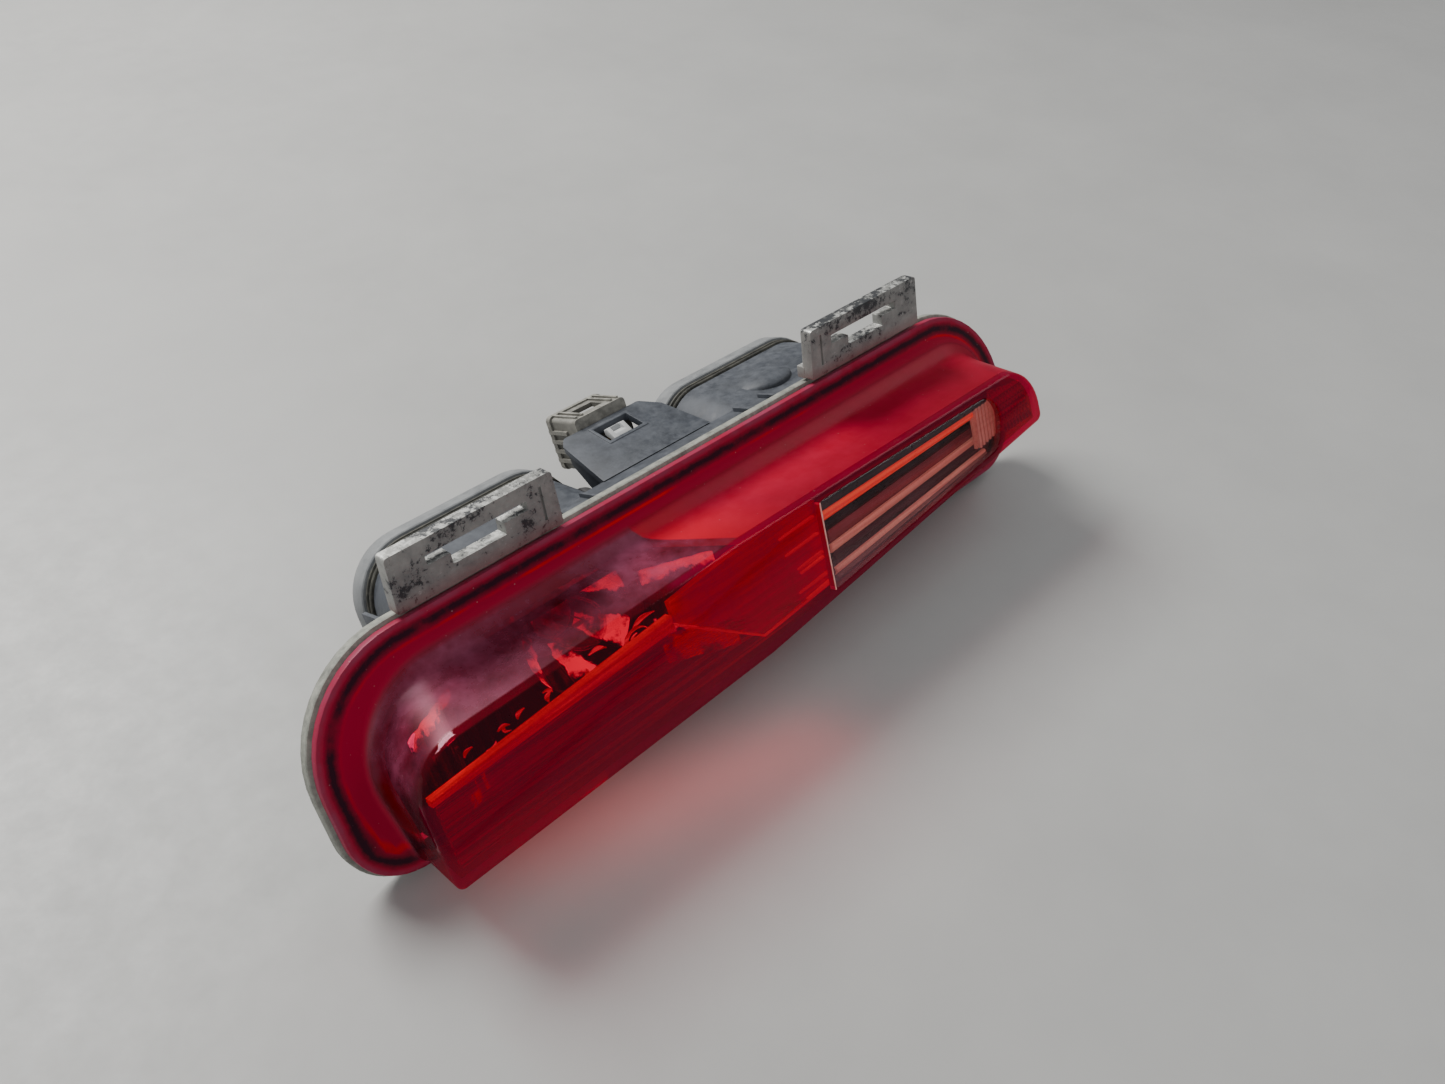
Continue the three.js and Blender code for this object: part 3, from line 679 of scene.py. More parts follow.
# Each optic's glow is painted light: emission on parts that are no lamps.
STRIP_RED = optic_red("strip_red", (0.8, 0.02, 0.2), (0.3, 0.004, 0.08), 0.75, 0.06, 1)
BLOCK_RED = optic_red("block_red", (0.8, 0.015, 0.28), (0.62, 0.01, 0.2), 0.16, 0.2, 0.4)
RIDGE_RED = optic_red("ridge_red", (1.0, 0.12, 0.3), (0.9, 0.06, 0.2), 0, 0.45, 1)
BAR_RED = optic_red("bar_red", (0.95, 0.04, 0.4), (0.7, 0.015, 0.25), 0.3, 0.3, 0.4)
TIP_RED = optic_red("tip_red", (0.8, 0.03, 0.15), (0.2, 0.006, 0.05), 0.25, 0.1, 1)
GLINT_RED = optic_red("glint_red", (1.0, 0.4, 0.5), (0.35, 0.04, 0.06), 0, 0.7, 0.4)
BAND_RED = optic_red("band_red", (1.0, 0.1, 0.04), (0.85, 0.03, 0.02), painted_glow=0.35)
BAND_DARK = optic_red("band_dark_red", (0.3, 0.04, 0.055), (0.2, 0.022, 0.036), painted_glow=0.03)
BAND_SALMON = optic_red("band_salmon", (1.0, 0.5, 0.36), (0.8, 0.3, 0.23), painted_glow=0.12)
BAND_PLUM = optic_red("band_plum", (0.09, 0.022, 0.04), (0.03, 0.01, 0.016))
BAND_PEACH = optic_red("band_peach", (0.72, 0.32, 0.25), (0.64, 0.25, 0.2), painted_glow=0.05, grain=0.2)
EDGE_PINK = optic_red("edge_pink", (0.8, 0.42, 0.36), (0.7, 0.3, 0.26), painted_glow=0.1)
GLINT_PAINTED_MIRROR = glint_painted_mirror()
GLOSS_BLACK = gloss_black()
HOUSING_GREY = moulded("housing_grey", (0.042, 0.048, 0.06), (0.022, 0.026, 0.033), (0.092, 0.1, 0.113), 0.75)
RIM_GREY = moulded("rim_grey", (0.2, 0.205, 0.178), (0.085, 0.088, 0.075), (0.36, 0.36, 0.31), 0.7, 0.6, 0.8)
CAP_GREY = moulded("cap_grey", (0.17, 0.178, 0.183), (0.11, 0.115, 0.12), (0.25, 0.257, 0.255), 0.6)
CATCH_GREY = moulded("catch_grey", (0.4, 0.41, 0.41), (0.28, 0.29, 0.29), (0.5, 0.5, 0.48), 0.4)
CONNECTOR_GREY = moulded("connector_grey", (0.17, 0.165, 0.145), (0.085, 0.082, 0.072),
                         (0.34, 0.33, 0.29), 0.75)
HOLDER_BLACK = moulded("holder_black", (0.03, 0.032, 0.035), (0.018, 0.018, 0.02), (0.14, 0.14, 0.13), 0.4)
BRACKET_SILVER = bracket_silver()
RUBBER = rubber()
BRASS = bare_metal("contact_brass", (0.62, 0.47, 0.2), 0.3)
BULB_METAL = bare_metal("bulb_metal", (0.66, 0.66, 0.64), 0.25)
FILAMENT = bare_metal("filament", (0.4, 0.4, 0.42), 0.35)
BULB_CLEAR = bulb_clear()


# ---- lens ----
def widened(amount):
    """The boss's root spread over the flange by a fillet, less at its lower edge."""
    corners = []
    for x, height, radius in ROOT:
        side = (x > PEAK_X) - (x < PEAK_X)
        upper = height > 30
        share = 1 if upper else 0.3
        corners.append((x + side * amount * share, height + (amount if upper else -0.02 * amount),
                        radius + amount * share if radius else 0))
    return corners


def boss_ring(depth, grow=0.0):
    """The outline of the boss at a depth between its face and its root."""
    return outline(grown(between(FACE, ROOT, 1 - depth / FACE_DEPTH), grow)), depth


def outer_lens():
    # How far the boss has spread over the flange at each depth, on the way round the fillet.
    fillet = [(-7, 0.1), (-4.6, 0.45), (-2.9, 1.1), (-1.7, 2.0), (-0.9, 3.1), (-0.35, 4.6), (-0.05, 6.2)]
    root = outline(widened(7))
    flange = outline(FLANGE)
    outer = [boss_ring(-27.98, -0.9), boss_ring(-27.8, -0.38), boss_ring(-27.4, -0.08), boss_ring(-26.6)]
    outer += [boss_ring(depth) for depth in (-22, -17, -12, -9)]
    for depth, spread in fillet:
        wall = between(FACE, ROOT, 1 - depth / FACE_DEPTH)
        outer.append((outline(between(wall, widened(spread), min(1, spread / 2))), depth))
    outer += [([a.lerp(b, share) for a, b in zip(root, flange)], 0) for share in (0, 0.2, 0.4, 0.6, 0.8)]
    outer += [(outline(grown(FLANGE, -0.7)), 0), (outline(grown(FLANGE, -0.2)), 0.15), (flange, 0.6),
              (flange, 2.6), (outline(grown(FLANGE, -0.4)), FLANGE_BACK)]
    inner = [(outline(grown(ROOT, -LENS_WALL)), FLANGE_BACK), (outline(grown(ROOT, -LENS_WALL)), 0)]
    inner += [(boss_ring(depth, -LENS_WALL)[0], depth) for depth in (-7, -14, -21, FACE_DEPTH + LENS_WALL)]
    lens = loft(outer + inner)
    return cut(lens, plate(WINDOW, FACE_DEPTH - PAST, FACE_DEPTH + LENS_WALL + PAST))


def edge_distance(mesh):
    """Writes each vertex's distance from the flange's edge, in millimetres, for the lens material."""
    path = [Vector((point.x, point.y, 0)) for point in outline(FLANGE)]
    sides = list(zip(path, path[1:] + path[:1]))
    values = []
    for vert in mesh.vertices:
        here = Vector((vert.co.x, vert.co.z, 0))
        nearest = 100.0
        if vert.co.y > -2:
            for start, end in sides:
                run = end - start
                share = max(0.0, min(1.0, (here - start).dot(run) / run.length_squared))
                nearest = min(nearest, (here - start - run * share).length)
        values.append(nearest)
    mesh.attributes.new("edge", "FLOAT", "POINT").data.foreach_set("value", values)


def window_lens():
    """The clear window, with its front edge rounded."""
    points = outline(grown(WINDOW, -0.25))
    small = outline(grown(WINDOW, -0.55))
    return loft([(small, FACE_DEPTH), (points, FACE_DEPTH + 0.25), (points, INNER_FACE)])


# ---- optics ----

def ribbed_strip():
    """The strip below the bright bar: long fine ribs that follow its edges."""
    def surface(across, up):
        x = -130 + 138 * across
        low = 8.4 + 3.6 * across
        top = 27.2 + 4.2 * min(1, across / 0.6) if across < 0.6 else 31.4 - 17.5 * (across - 0.6) / 0.4
        height = low + (top - low) * up
        rib = 0.42 * abs(math.sin(up * math.pi * 9)) + 0.12 * abs(math.sin(up * math.pi * 31))
        return x, INNER_FACE + 0.9 + rib, height
    return sheet_solid(60, 124, surface, 2.4)


def light_bar():
    """The bright bar over the strip: two long facets with a groove between, widening to the right."""
    facets = [(0.0, 0.5), (0.08, 0.0), (0.42, 0.25), (0.5, 0.9), (0.58, 0.2), (0.93, 0.0), (1.0, 0.5)]

    def surface(across, up):
        spot = up * (len(facets) - 1)
        index = min(int(spot), len(facets) - 2)
        share = spot - index
        level = facets[index][0] + (facets[index + 1][0] - facets[index][0]) * share
        sunk = facets[index][1] + (facets[index + 1][1] - facets[index][1]) * share
        low = 28.2 + 4.1 * across
        top = 30.4 + 6.6 * across
        return -131 + 86 * across, INNER_FACE + 0.5 + sunk, low + (top - low) * level
    return sheet_solid(40, len(facets) - 1, surface, 2.6)


def centre_optic():
    """The solid block behind the crease, cut to shallow facets, with short ridges on its right half."""
    front = INNER_FACE + 0.7
    left = [(-43, 32.8), (PEAK_X, 13.4), (PEAK_X, 42.9), (-43, 39.8)]
    right = [(PEAK_X, 13.4), (18.2, 15.5), (21.2, 42.2), (PEAK_X, 42.9)]
    bm = bmesh.new()

    def half(corners, tilt):
        near = [bm.verts.new((x, front + abs(x - PEAK_X) * tilt, height)) for x, height in corners]
        far = [bm.verts.new((x, front + 4.5, height)) for x, height in corners]
        bm.faces.new(near)
        bm.faces.new(far)
        for index, vert in enumerate(near):
            nxt = (index + 1) % len(near)
            at_crease = corners[index][0] == corners[nxt][0] == PEAK_X
            if not at_crease:
                bm.faces.new((vert, near[nxt], far[nxt], far[index]))
    half(left, 0.07)
    half(right, 0.05)
    body = soften(blank("block", bm), 0.25)
    ridges = []
    end = 17.6
    for height in (17.6, 23.2, 25.0, 31.5, 37.6):
        length = 11 + (height * 7) % 6
        ridge = plate([(end - length, height, 0.2), (end, height + 0.35, 0.2), (end, height + 1.1, 0.2),
                       (end - length, height + 0.6, 0.2)], front + 0.25, front + 1.6, 3)
        ridges.append(soften(ridge, 0.15))
    edges = []
    for start, end in (((-43, 32.6), (PEAK_X, 13.2)), ((PEAK_X, 13.2), (18, 15.3))):
        near = Vector(start)
        run = Vector(end) - near
        side = Vector((run.y, -run.x)).normalized() * 0.5
        corners = [near + side, Vector(end) + side, Vector(end), near]
        edges.append(plate([(*corner, 0) for corner in corners], front - 0.3, front + 3))
    return body, gathered(*ridges, *edges)


def tip_ribs():
    """Slanting ribs behind the right-hand tip."""
    ribs = []
    for step in range(9):
        x = 116 + 1.9 * step
        top = 41 - 0.2 * step
        corners = [(x, 24, 0.3), (x + 0.9, 24, 0.3), (x - 2.6, top, 0.3), (x - 3.5, top, 0.3)]
        ribs.append(plate(corners, INNER_FACE + 0.6, INNER_FACE + 2.2, 2))
    corners = [(113, 24.6, 1), (131, 26, 1), (130.4, 38, 5), (113, 41.4, 1)]
    return gathered(plate(corners, INNER_FACE + 2.3, INNER_FACE + 3.4), *ribs)


def stop_reflector():
    """The fluted bowl behind the stop bulb, open where the bulb comes through."""
    focal, vertex, mouth = 5.3, 26, 3.6
    segments, flutes = 168, 14
    depths = [mouth + (22.2 - mouth) * step / 18 for step in range(19)]
    bm = bmesh.new()
    rows = []
    for thick in (0, 1.2):
        for depth in depths if not thick else reversed(depths):
            dish = 2 * math.sqrt(focal * (vertex - depth))
            row = []
            for angle in ringed(segments):
                radius = dish * (1 - 0.03 * abs(math.sin(angle * flutes / 2))) + thick
                row.append(bm.verts.new((BULB_X["stop"] + radius * math.cos(angle), depth + thick * 0.4,
                                         BULB_HEIGHT + radius * math.sin(angle))))
            rows.append(row)
    bowl = skinned("bowl", bm, rows + rows[:1], caps=False)
    return cut(bowl, block((-200, -PAST, 49.6), (0, RIM_BACK + 1, 90)), block((-200, -PAST, 61), (0, 30, 90)))


def chamber_mask():
    """The black mask round the bowl, with a raised collar and upright ribs at its left end."""
    outer = [(-128, 5.5, 4), (-20, 5.5, 3), (-20, 49.2, 3), (-128, 49.2, 22)]
    mouth = turned([(0, -4), (20.6, -4), (20.6, 5), (0, 5)], BULB_X["stop"])
    mask = cut(plate(outer, 0.8, 2.4), cut(mouth, block((-200, -6, 46.8), (0, 6, 62))))
    ring = [(20.7, 2.3), (20.7, -2.2), (21.2, -2.7), (22.2, -2.7), (22.7, -2.2), (22.7, 2.3), (20.7, 2.3)]
    collar = turned(ring, BULB_X["stop"], segments=96)
    collar = cut(collar, block((-200, -6, 46.8), (0, 6, 64)))
    ribs = [block((-122 + 4 * step, -5.5, 9), (-120.8 + 4 * step, 0.9, 40)) for step in range(8)]
    return soften(join(mask, collar, *ribs), 0.2)


def side_mirrors():
    """The side walls of the stop chamber, left and right of the bowl, bright with painted reflections."""
    walls = []
    for start, end, lean in ((-127, -106, 9), (-36, -18, -7)):
        def surface(across, up, start=start, end=end, lean=lean):
            x = start + (end - start) * across
            depth = -15 * (1 - across if lean > 0 else across) - 1
            wave = 0.7 * abs(math.sin(across * math.pi * 4))
            return x, depth + wave, 10 + 33 * up
        walls.append(sheet_solid(48, 6, surface, 1))
    return gathered(*walls)


# The bars' colours are painted reflections of the light and shade on the reflector's steps; the bright ones
# glow.
# Each bar's look, then for its top and lower edge the height at which it is seen on the front's plane,
# at the left end and at the right, and its depth behind that plane.
BARS = [
    (GLOSS_BLACK, (44.2, 43.4, 3.0), (40.2, 40.6, 3.6)),
    (BAND_RED, (40.0, 40.3, 4.6), (37.0, 38.5, 5.4)),
    (GLOSS_BLACK, (36.8, 38.3, 8.6), (33.4, 36.0, 9.2)),
    (BAND_DARK, (33.2, 35.8, 10.0), (28.4, 31.9, 10.6)),
    (BAND_SALMON, (28.0, 31.6, 8.8), (25.4, 29.4, 9.6)),
    (BAND_PLUM, (25.2, 29.2, 11.4), (20.2, 25.6, 12.0)),
    (BAND_SALMON, (19.8, 25.2, 8.4), (17.0, 23.6, 8.8)),
    (BAND_PLUM, (16.8, 23.4, 6.6), (15.2, 22.8, 3.4)),
]
BARS_RIGHT = 109
SIGHT = 0.567                 # how far the line of sight falls for each millimetre of depth


def bar_surface(top_edge, low_edge):
    """A long strip between two edges of the stepped bars, a little rounded forwards."""
    left = 16.1 + 1.02 * low_edge[2]

    def surface(across, up):
        (top_deep, top), (low_deep, low) = [(deep, start + (end - start) * across - SIGHT * deep)
                                            for start, end, deep in (top_edge, low_edge)]
        deep = top_deep + (low_deep - top_deep) * (1 - up) - 0.5 * math.sin(up * math.pi)
        return left + (BARS_RIGHT - left) * across, FACE_DEPTH + deep, low + (top - low) * up
    return surface


def window_bars():
    """The stepped bars behind the window, one long strip for each."""
    for number, (look, top_edge, low_edge) in enumerate(BARS, 1):
        bar = sheet_solid(24, 6, bar_surface(top_edge, low_edge), 1.2)
        piece(f"window_bar_{number}", bar, look, stands_for="step_reflector" if number == 1 else None)


def window_end():
    """The pale ribbed column behind the window's rounded end, with a faint painted glow."""
    ribs = []
    for step in range(6):
        x = 101 + 1.9 * step
        low = 24.4 + 0.28 * step
        top = 40.6 - 0.06 * step * step
        corners = [(x, low, 0.3), (x + 1.2, low, 0.3), (x + 2.6, top, 0.3), (x + 1.4, top, 0.3)]
        ribs.append(plate(corners, INNER_FACE + 0.9, INNER_FACE + 2.4, 2))
    back = plate([(100.4, 24, 0.5), (111, 25.4, 0.5), (112.4, 39, 4), (101.6, 41, 0.5)], INNER_FACE + 2.5,
                 INNER_FACE + 3.3, 4)
    return gathered(back, *ribs)


def window_edge():
    """The bright left edge of the window's opening, with a painted glow."""
    return plate([(15.15, 13.4, 0), (15.6, 13.5, 0), (18.6, 42.9, 0), (18.15, 43, 0)], FACE_DEPTH - 0.02,
                 INNER_FACE, 2)


def chamber_glints():
    """Glowing curled strips that paint the glints of the reflector's edge, left of the bulb and over it."""
    strips = []
    steps = 24
    # Each curl's centre, radius, and where it starts and how far it turns, in degrees.
    curls = ((-108, 24.5, 3.2, 95, 60), (-104, 25.5, 2.4, 250, 80), (-98, 24, 3.6, 60, 55),
             (-95, 26.5, 2.2, 160, 90),
             (-88, 25, 4.5, 110, 45), (-83, 27, 2.6, 20, 70), (-76, 25.5, 5, 130, 50), (-71, 28, 3, 300, 60),
             (-64, 24, 9, 60, 35), (-47, 27.2, 3.4, 0, 330), (-47, 27.2, 1.8, 90, 280), (-40, 23, 11, 85, 45))
    for x, height, radius, start, sweep in curls:
        bm = bmesh.new()
        rows = []
        for step in range(steps + 1):
            share = step / steps
            angle = math.radians(start + sweep * share)
            wide = 0.2 + 0.45 * radius ** 0.5 * math.sin(share * math.pi) ** 1.5
            ring = []
            for reach, deep in ((radius, 0), (radius + wide, 0.2), (radius + wide, 0.7), (radius, 0.5)):
                ring.append(bm.verts.new((x + 1.2 * reach * math.cos(angle), -7 + deep,
                                          height + reach * math.sin(angle) * 0.8)))
            rows.append(ring)
        strips.append(skinned("strip", bm, rows))
    return gathered(*strips)


# ---- bulbs and holders ----
def bulb_glass(use):
    """A hollow glass bulb with rounded end and a pinched neck."""
    radius, middle = 7.9, -1.0
    dome = [(math.pi / 2) * step / 14 for step in range(15)]
    outer = [(radius * math.sin(angle), middle - radius * math.cos(angle)) for angle in dome]
    outer += [(radius, 4), (7.6, 7), (7.0, 10), (6.5, 12.4), (6.3, 14.0)]
    inner = [(max(r - 0.6, 0), depth + (0.6 if depth < 4 else 0)) for r, depth in outer]
    inner[0] = (0, outer[0][1] + 0.6)
    return turned(outer + inner[::-1], BULB_X[use])


def filament(use):
    """The bulb's coil on its two leads and the glass bead that holds them."""
    x = BULB_X[use]
    parts = [turned([(0, 7), (1.4, 7), (1.7, 9), (1.4, 12), (0, 12)], x)]
    for side in (-1, 1):
        parts.append(turned([(0, 0), (0.25, 0), (0.25, 8), (0, 8)], x + 2.4 * side, segments=12))
    bm = bmesh.new()
    turns, steps = 9, 108
    rows = []
    for step in range(steps + 1):
        share = step / steps
        angle = 2 * math.pi * turns * share
        centre = Vector((x - 2.4 + 4.8 * share, 0.6 * math.cos(angle), BULB_HEIGHT + 0.6 * math.sin(angle)))
        out = Vector((0, math.cos(angle), math.sin(angle)))
        rows.append([bm.verts.new(centre + 0.14 * (out * math.cos(turn) + Vector((math.sin(turn), 0, 0))))
                     for turn in ringed(8)])
    return gathered(*parts, skinned("coil", bm, rows))


def bulb_base(use):
    """The rolled metal cap of the bulb, with its two bayonet pins and a lead contact."""
    x = BULB_X[use]
    shell = turned([(0, 14.4), (6.2, 14.4), (6.9, 14.6), (7.3, 15.2), (7.3, 17.4), (6.9, 17.9), (6.9, 18.3),
                    (7.3, 18.8), (7.3, 27.3), (6.9, 28.0), (4.2, 29.1), (3.8, 29.4), (2.0, 29.5), (1.8, 30.1),
                    (0, 30.2)], x)
    pins = [block((pin - 0.45, 21, BULB_HEIGHT - 0.8), (pin + 0.45, 22.6, BULB_HEIGHT + 0.8))
            for pin in (x - 7.2, x + 7.2)]
    return gathered(shell, *pins)


def lugs(x, turn, grow, front, back):
    """Three lugs round a bulb axis, turned by some degrees and grown by a clearance."""
    pieces = []
    for step in range(3):
        lug = block((0, front, -2 - grow), (11.2 + grow, back, 2 + grow))
        spin = Matrix.Rotation(-math.radians(turn + 120 * step), 4, "Y")
        lug.data.transform(Matrix.Translation((x, 0, BULB_HEIGHT)) @ spin)
        pieces.append(lug)
    return join(*pieces)


def bulb_holder(use):
    """The holder that turns in the rear cap: cup, flange, lugs and a ribbed grip."""
    x = BULB_X[use]
    body = turned([(0, 30.5), (7.8, 30.5), (7.8, 15), (8.6, 15), (8.6, 59.9), (10.5, 59.9), (10.5, 61.4),
                   (0, 61.4)], x)
    grip = block((x - 1.8, 60.8, BULB_HEIGHT - 8.5), (x + 1.8, 64.2, BULB_HEIGHT + 8.5))
    boss = turned([(0, 61), (4.6, 61), (4.6, 62.8), (0, 62.8)], x)
    holder = join(body, lugs(x, 0, 0, 53.7, 55.3), grip, boss)
    notches = [turned([(0, 59), (0.4, 59), (0.4, 62), (0, 62)], x + 10.6 * math.cos(angle),
                      BULB_HEIGHT + 10.6 * math.sin(angle), 10) for angle in ringed(24)]
    return soften(cut(holder, gathered(*notches)), 0.22)


def holder_seal(use):
    ring = [(8.9, 58.35), (9.6, 58.1), (10.3, 58.35), (10.3, 59.5), (9.6, 59.75), (8.9, 59.5), (8.9, 58.35)]
    return turned(ring, BULB_X[use])


# ---- housing ----
def rim():
    """The weathered rim round the lens, with a fine step outside and a seat inside."""
    edge = [(0.4, RIM_FRONT), (0.95, RIM_FRONT + 0.1), (1.2, RIM_FRONT + 0.5), (1.2, RIM_BACK - 1.6),
            (0.7, RIM_BACK - 1.2), (0.7, RIM_BACK - 0.3), (0.4, RIM_BACK)]
    seat = outline(grown(ROOT, -SEAT))
    rings = [(outline(grown(FLANGE, grow)), depth) for grow, depth in edge]
    return loft([(seat, RIM_FRONT), *rings, (seat, RIM_BACK), (seat, RIM_FRONT)], caps=False)


def lobe_corners(side, inset=0.0):
    """The back outline of the chamber on one side, moved inwards by inset."""
    left, right = sorted((side * LOBE["inner"], side * LOBE["outer"]))
    return grown(rectangle(left, right, LOBE["low"], LOBE["top"], LOBE["radius"]), -inset)


def tub(inset, start):
    """The front of the housing, which narrows on its way back."""
    wide = grown(rectangle(-140, 140, 3, 65.6, 16, 28), -inset)
    narrow = grown(rectangle(-112, 112, 12, 65.6, 12, 20), -inset)
    rings = [(outline(wide), start)]
    for step in range(1, 7):
        share = step / 6
        depth = RIM_BACK + (TUB_BACK - inset - RIM_BACK) * share
        rings.append((outline(between(wide, narrow, 1 - (1 - share) ** 1.25)), depth))
    return loft(rings)


def lobe(side, inset, back):
    """The chamber on one side, from inside the tub to its open back."""
    ends = sorted((side * (LOBE["inner"] - 1), side * (LOBE["outer"] + 10)))
    start = grown(rectangle(ends[0], ends[1], 13, 65.2, 12, LOBE["radius"]), -inset)
    end = lobe_corners(side, inset)
    first = TUB_BACK - 4 - inset
    rings = []
    for step in range(7):
        share = step / 6
        bulge = share + 0.1 * math.sin(share * math.pi)
        rings.append((outline(between(start, end, min(bulge, 1))), first + (back - first) * share))
    return loft(rings)


def shelf_dome():
    """The low round dome on the right-hand chamber's top."""
    profile = [(0, -4), (12, -4), (12, 0.6), (11.7, 1.4), (10.9, 2.1),
               (9, 2.9), (6, 3.7), (3, 4.2), (0, 4.35)]
    return placed(turned(profile, 0, 0, 72), 58, 32, 66, 90)


def shelf_ribs():
    """Low moulded ribs on the shelf, from the rim to each chamber."""
    return [block((x - 0.6, RIM_BACK - 1, 60), (x + 0.6, 20, 67))
            for x in (-112, -101, -46, -34, 34, 46, 88, 101)]


def housing_body():
    """The hollow shell behind the rim: a tub that narrows into two chambers."""
    chambers = [lobe(side, 0, LOBE_BACK) for side in (-1, 1)]
    outside = join(tub(0, RIM_FRONT + 2), *chambers, shelf_dome(), *shelf_ribs())
    mouth = plate(grown(ROOT, -SEAT), RIM_FRONT - PAST, RIM_BACK)
    hollows = [lobe(side, SHELL_WALL, LOBE_BACK + PAST) for side in (-1, 1)]
    inside = join(tub(SHELL_WALL, RIM_BACK - 0.5), *hollows, mouth)
    return soften(cut(outside, inside), 0.5)


def gasket(side):
    """The double-lipped seal in front of a rear cap."""
    profile = [(2.4, 46.3), (-0.7, 46.3), (-1.0, 46.6), (-0.9, 47.2), (0.3, 47.6), (0.3, 48.4), (-0.9, 48.8),
               (-1.0, 49.4), (-0.7, 49.7), (2.4, 49.7)]
    rings = [(outline(lobe_corners(side, inset)), depth) for inset, depth in profile]
    return loft(rings + rings[:1], caps=False)


def rear_cap(side):
    """A shallow rear cap with a stepped back, a port for the holder and slots for its lugs."""
    x = BULB_X["reverse"] * side
    low = -1.2 + (CAP_BACK - RIM_BACK) * math.tan(LEAN)
    left, right = sorted((side * (LOBE["inner"] - 2), side * (LOBE["outer"] + 2)))
    corners = rectangle(left, right, low, 73, 20)
    edge = [(0.4, 50), (0, 50.4), (0, 56.6), (0.35, 57.5), (1.2, 58)]
    shell = loft([(outline(grown(corners, -inset)), depth) for inset, depth in edge])
    hollow = plate(grown(corners, -2.4), 48, 55.6)
    port = turned([(0, 50), (9.2, 50), (9.2, 60), (0, 60)], x)
    step = cut(plate(grown(corners, -3.6), 57.3, 60), plate(grown(corners, -5.2), 57, 61))
    return soften(cut(shell, hollow, port, lugs(x, 45, 0.5, 50, 60), step), 0.25)


# ---- brackets ----
def bracket(side):
    """A slotted bracket that leans forward, with a groove, an end wall and a moulded foot."""
    inner, outer, foot, top = (BRACKET[key] for key in ("inner", "outer", "foot", "top"))
    thick = BRACKET["thickness"]
    panel = plate(mirrored([(inner, foot - 0.6, 0.6), (outer, foot - 0.6, 0.6), (outer - 0.6, top, 1.2),
                            (inner + 0.6, top, 1.2)], side), 0, thick, 5)
    slot = plate(mirrored([(64.5, 77, 0.3), (73, 77, 0.3), (73, 73.4, 0.3), (91, 73.4, 0.3), (91, 77, 0.3),
                           (98.5, 77, 0.3), (98.5, 80, 0.3), (64.5, 80, 0.3)], side), -PAST, thick + PAST, 3)
    foot_left, foot_right = sorted((side * inner, side * (inner + 6)))
    heel = block((foot_left, thick - 0.6, foot - 0.6), (foot_right, thick + 2.6, foot + 3.4))
    groove = block((side * 59.4 - 0.45, -PAST, foot + 3), (side * 59.4 + 0.45, 0.6, top - 3))
    hollow = block((side * 104.5 - 3.2, thick - 1.2, foot + 2), (side * 104.5 + 3.2, thick + PAST, top - 3))
    solid = soften(cut(join(panel, heel), slot, groove, hollow), 0.35)
    lean = Matrix.Rotation(math.radians(BRACKET["lean"]), 4, "X")
    solid.data.transform(Matrix.Translation((0, -0.4, foot + 1.4)) @ lean @ Matrix.Translation((0, 0, -foot)))
    return solid


# ---- centre tab, catch, connector ----
def centre_tab():
    """The sloping tab with its slot and lip, side walls, post, foot and ribs; the screw under its left edge
    is made apart.
    """
    corners = [(-24.1, 19.0, 0.8), (24.1, 19.0, 0.8), (20.6, 41, 2), (15.5, 47.4, 2), (-17.5, 47.4, 2),
               (-20.5, 44, 1.5)]
    bm = bmesh.new()
    slab = skinned("slab", bm, [[bm.verts.new((point.x, point.y, tab_height(point.y) - drop))
                                 for point in outline(corners, 6)] for drop in (0, 2.4)])
    start = TUB_BACK + 0.3
    gusset = [(start, 50), (28, 50), (44, 68), (44, tab_height(44) - 0.6), (start, tab_height(start) - 0.6)]
    walls = [along(gusset, *ends) for ends in ((-19.5, -17), (17, 19.5))]
    post = block((-8, start, 52), (8, 47.7, 64))
    foot = block((-19.5, start, 50), (19.5, start + 2, 64))
    ribs = [along([(26, 58), (40, 63), (40, tab_height(40) - 1), (26, tab_height(26) - 1)], x - 0.7, x + 0.7)
            for x in (-12, 12)]
    tab = join(slab, *walls, post, foot, *ribs)
    near, far = 34.6, 45.4
    lip = along([(near, tab_height(near) - 1), (far, tab_height(far) - 1), (far, tab_height(far) + 0.35),
                 (near, tab_height(near) + 0.35)], -8.5, 8.5)
    opening = ((-7.3, near + 1.2, 60), (7.3, far - 1.2, 90))
    lip = cut(lip, block(*opening))
    tab = cut(tab, block(*opening), block((-30, 10, 40), (30, start, 65.9)))
    return soften(join(tab, lip), 0.3)


def side_screw():
    """The dark screw that holds the housing, seen under the tab's left edge."""
    head = turned([(0, 0), (3.2, 0), (3.4, 0.4), (3.4, 2.4), (2.2, 2.6), (2.2, 9), (0, 9)], 0, 0, 32)
    slot = block((-0.4, -1, -3), (0.4, 0.9, 3))
    return placed(soften(cut(head, slot), 0.15), -27.5, 29, 63, -70)


def tab_catch():
    """The hooked catch in the tab's slot, with a pocket in its head."""
    head = tab_height(40)
    hook = along([(38.2, 64.3), (39.8, 64.3), (39.8, head - 3.4), (43.4, head - 1.6), (43.4, head + 0.4),
                  (41.6, head + 0.9), (38.2, head - 2.2)], -3.9, 3.9)
    pocket = block((-2.2, 39.2, head - 1.2), (2.2, 42.6, head + 3))
    return soften(cut(hook, pocket), 0.25)


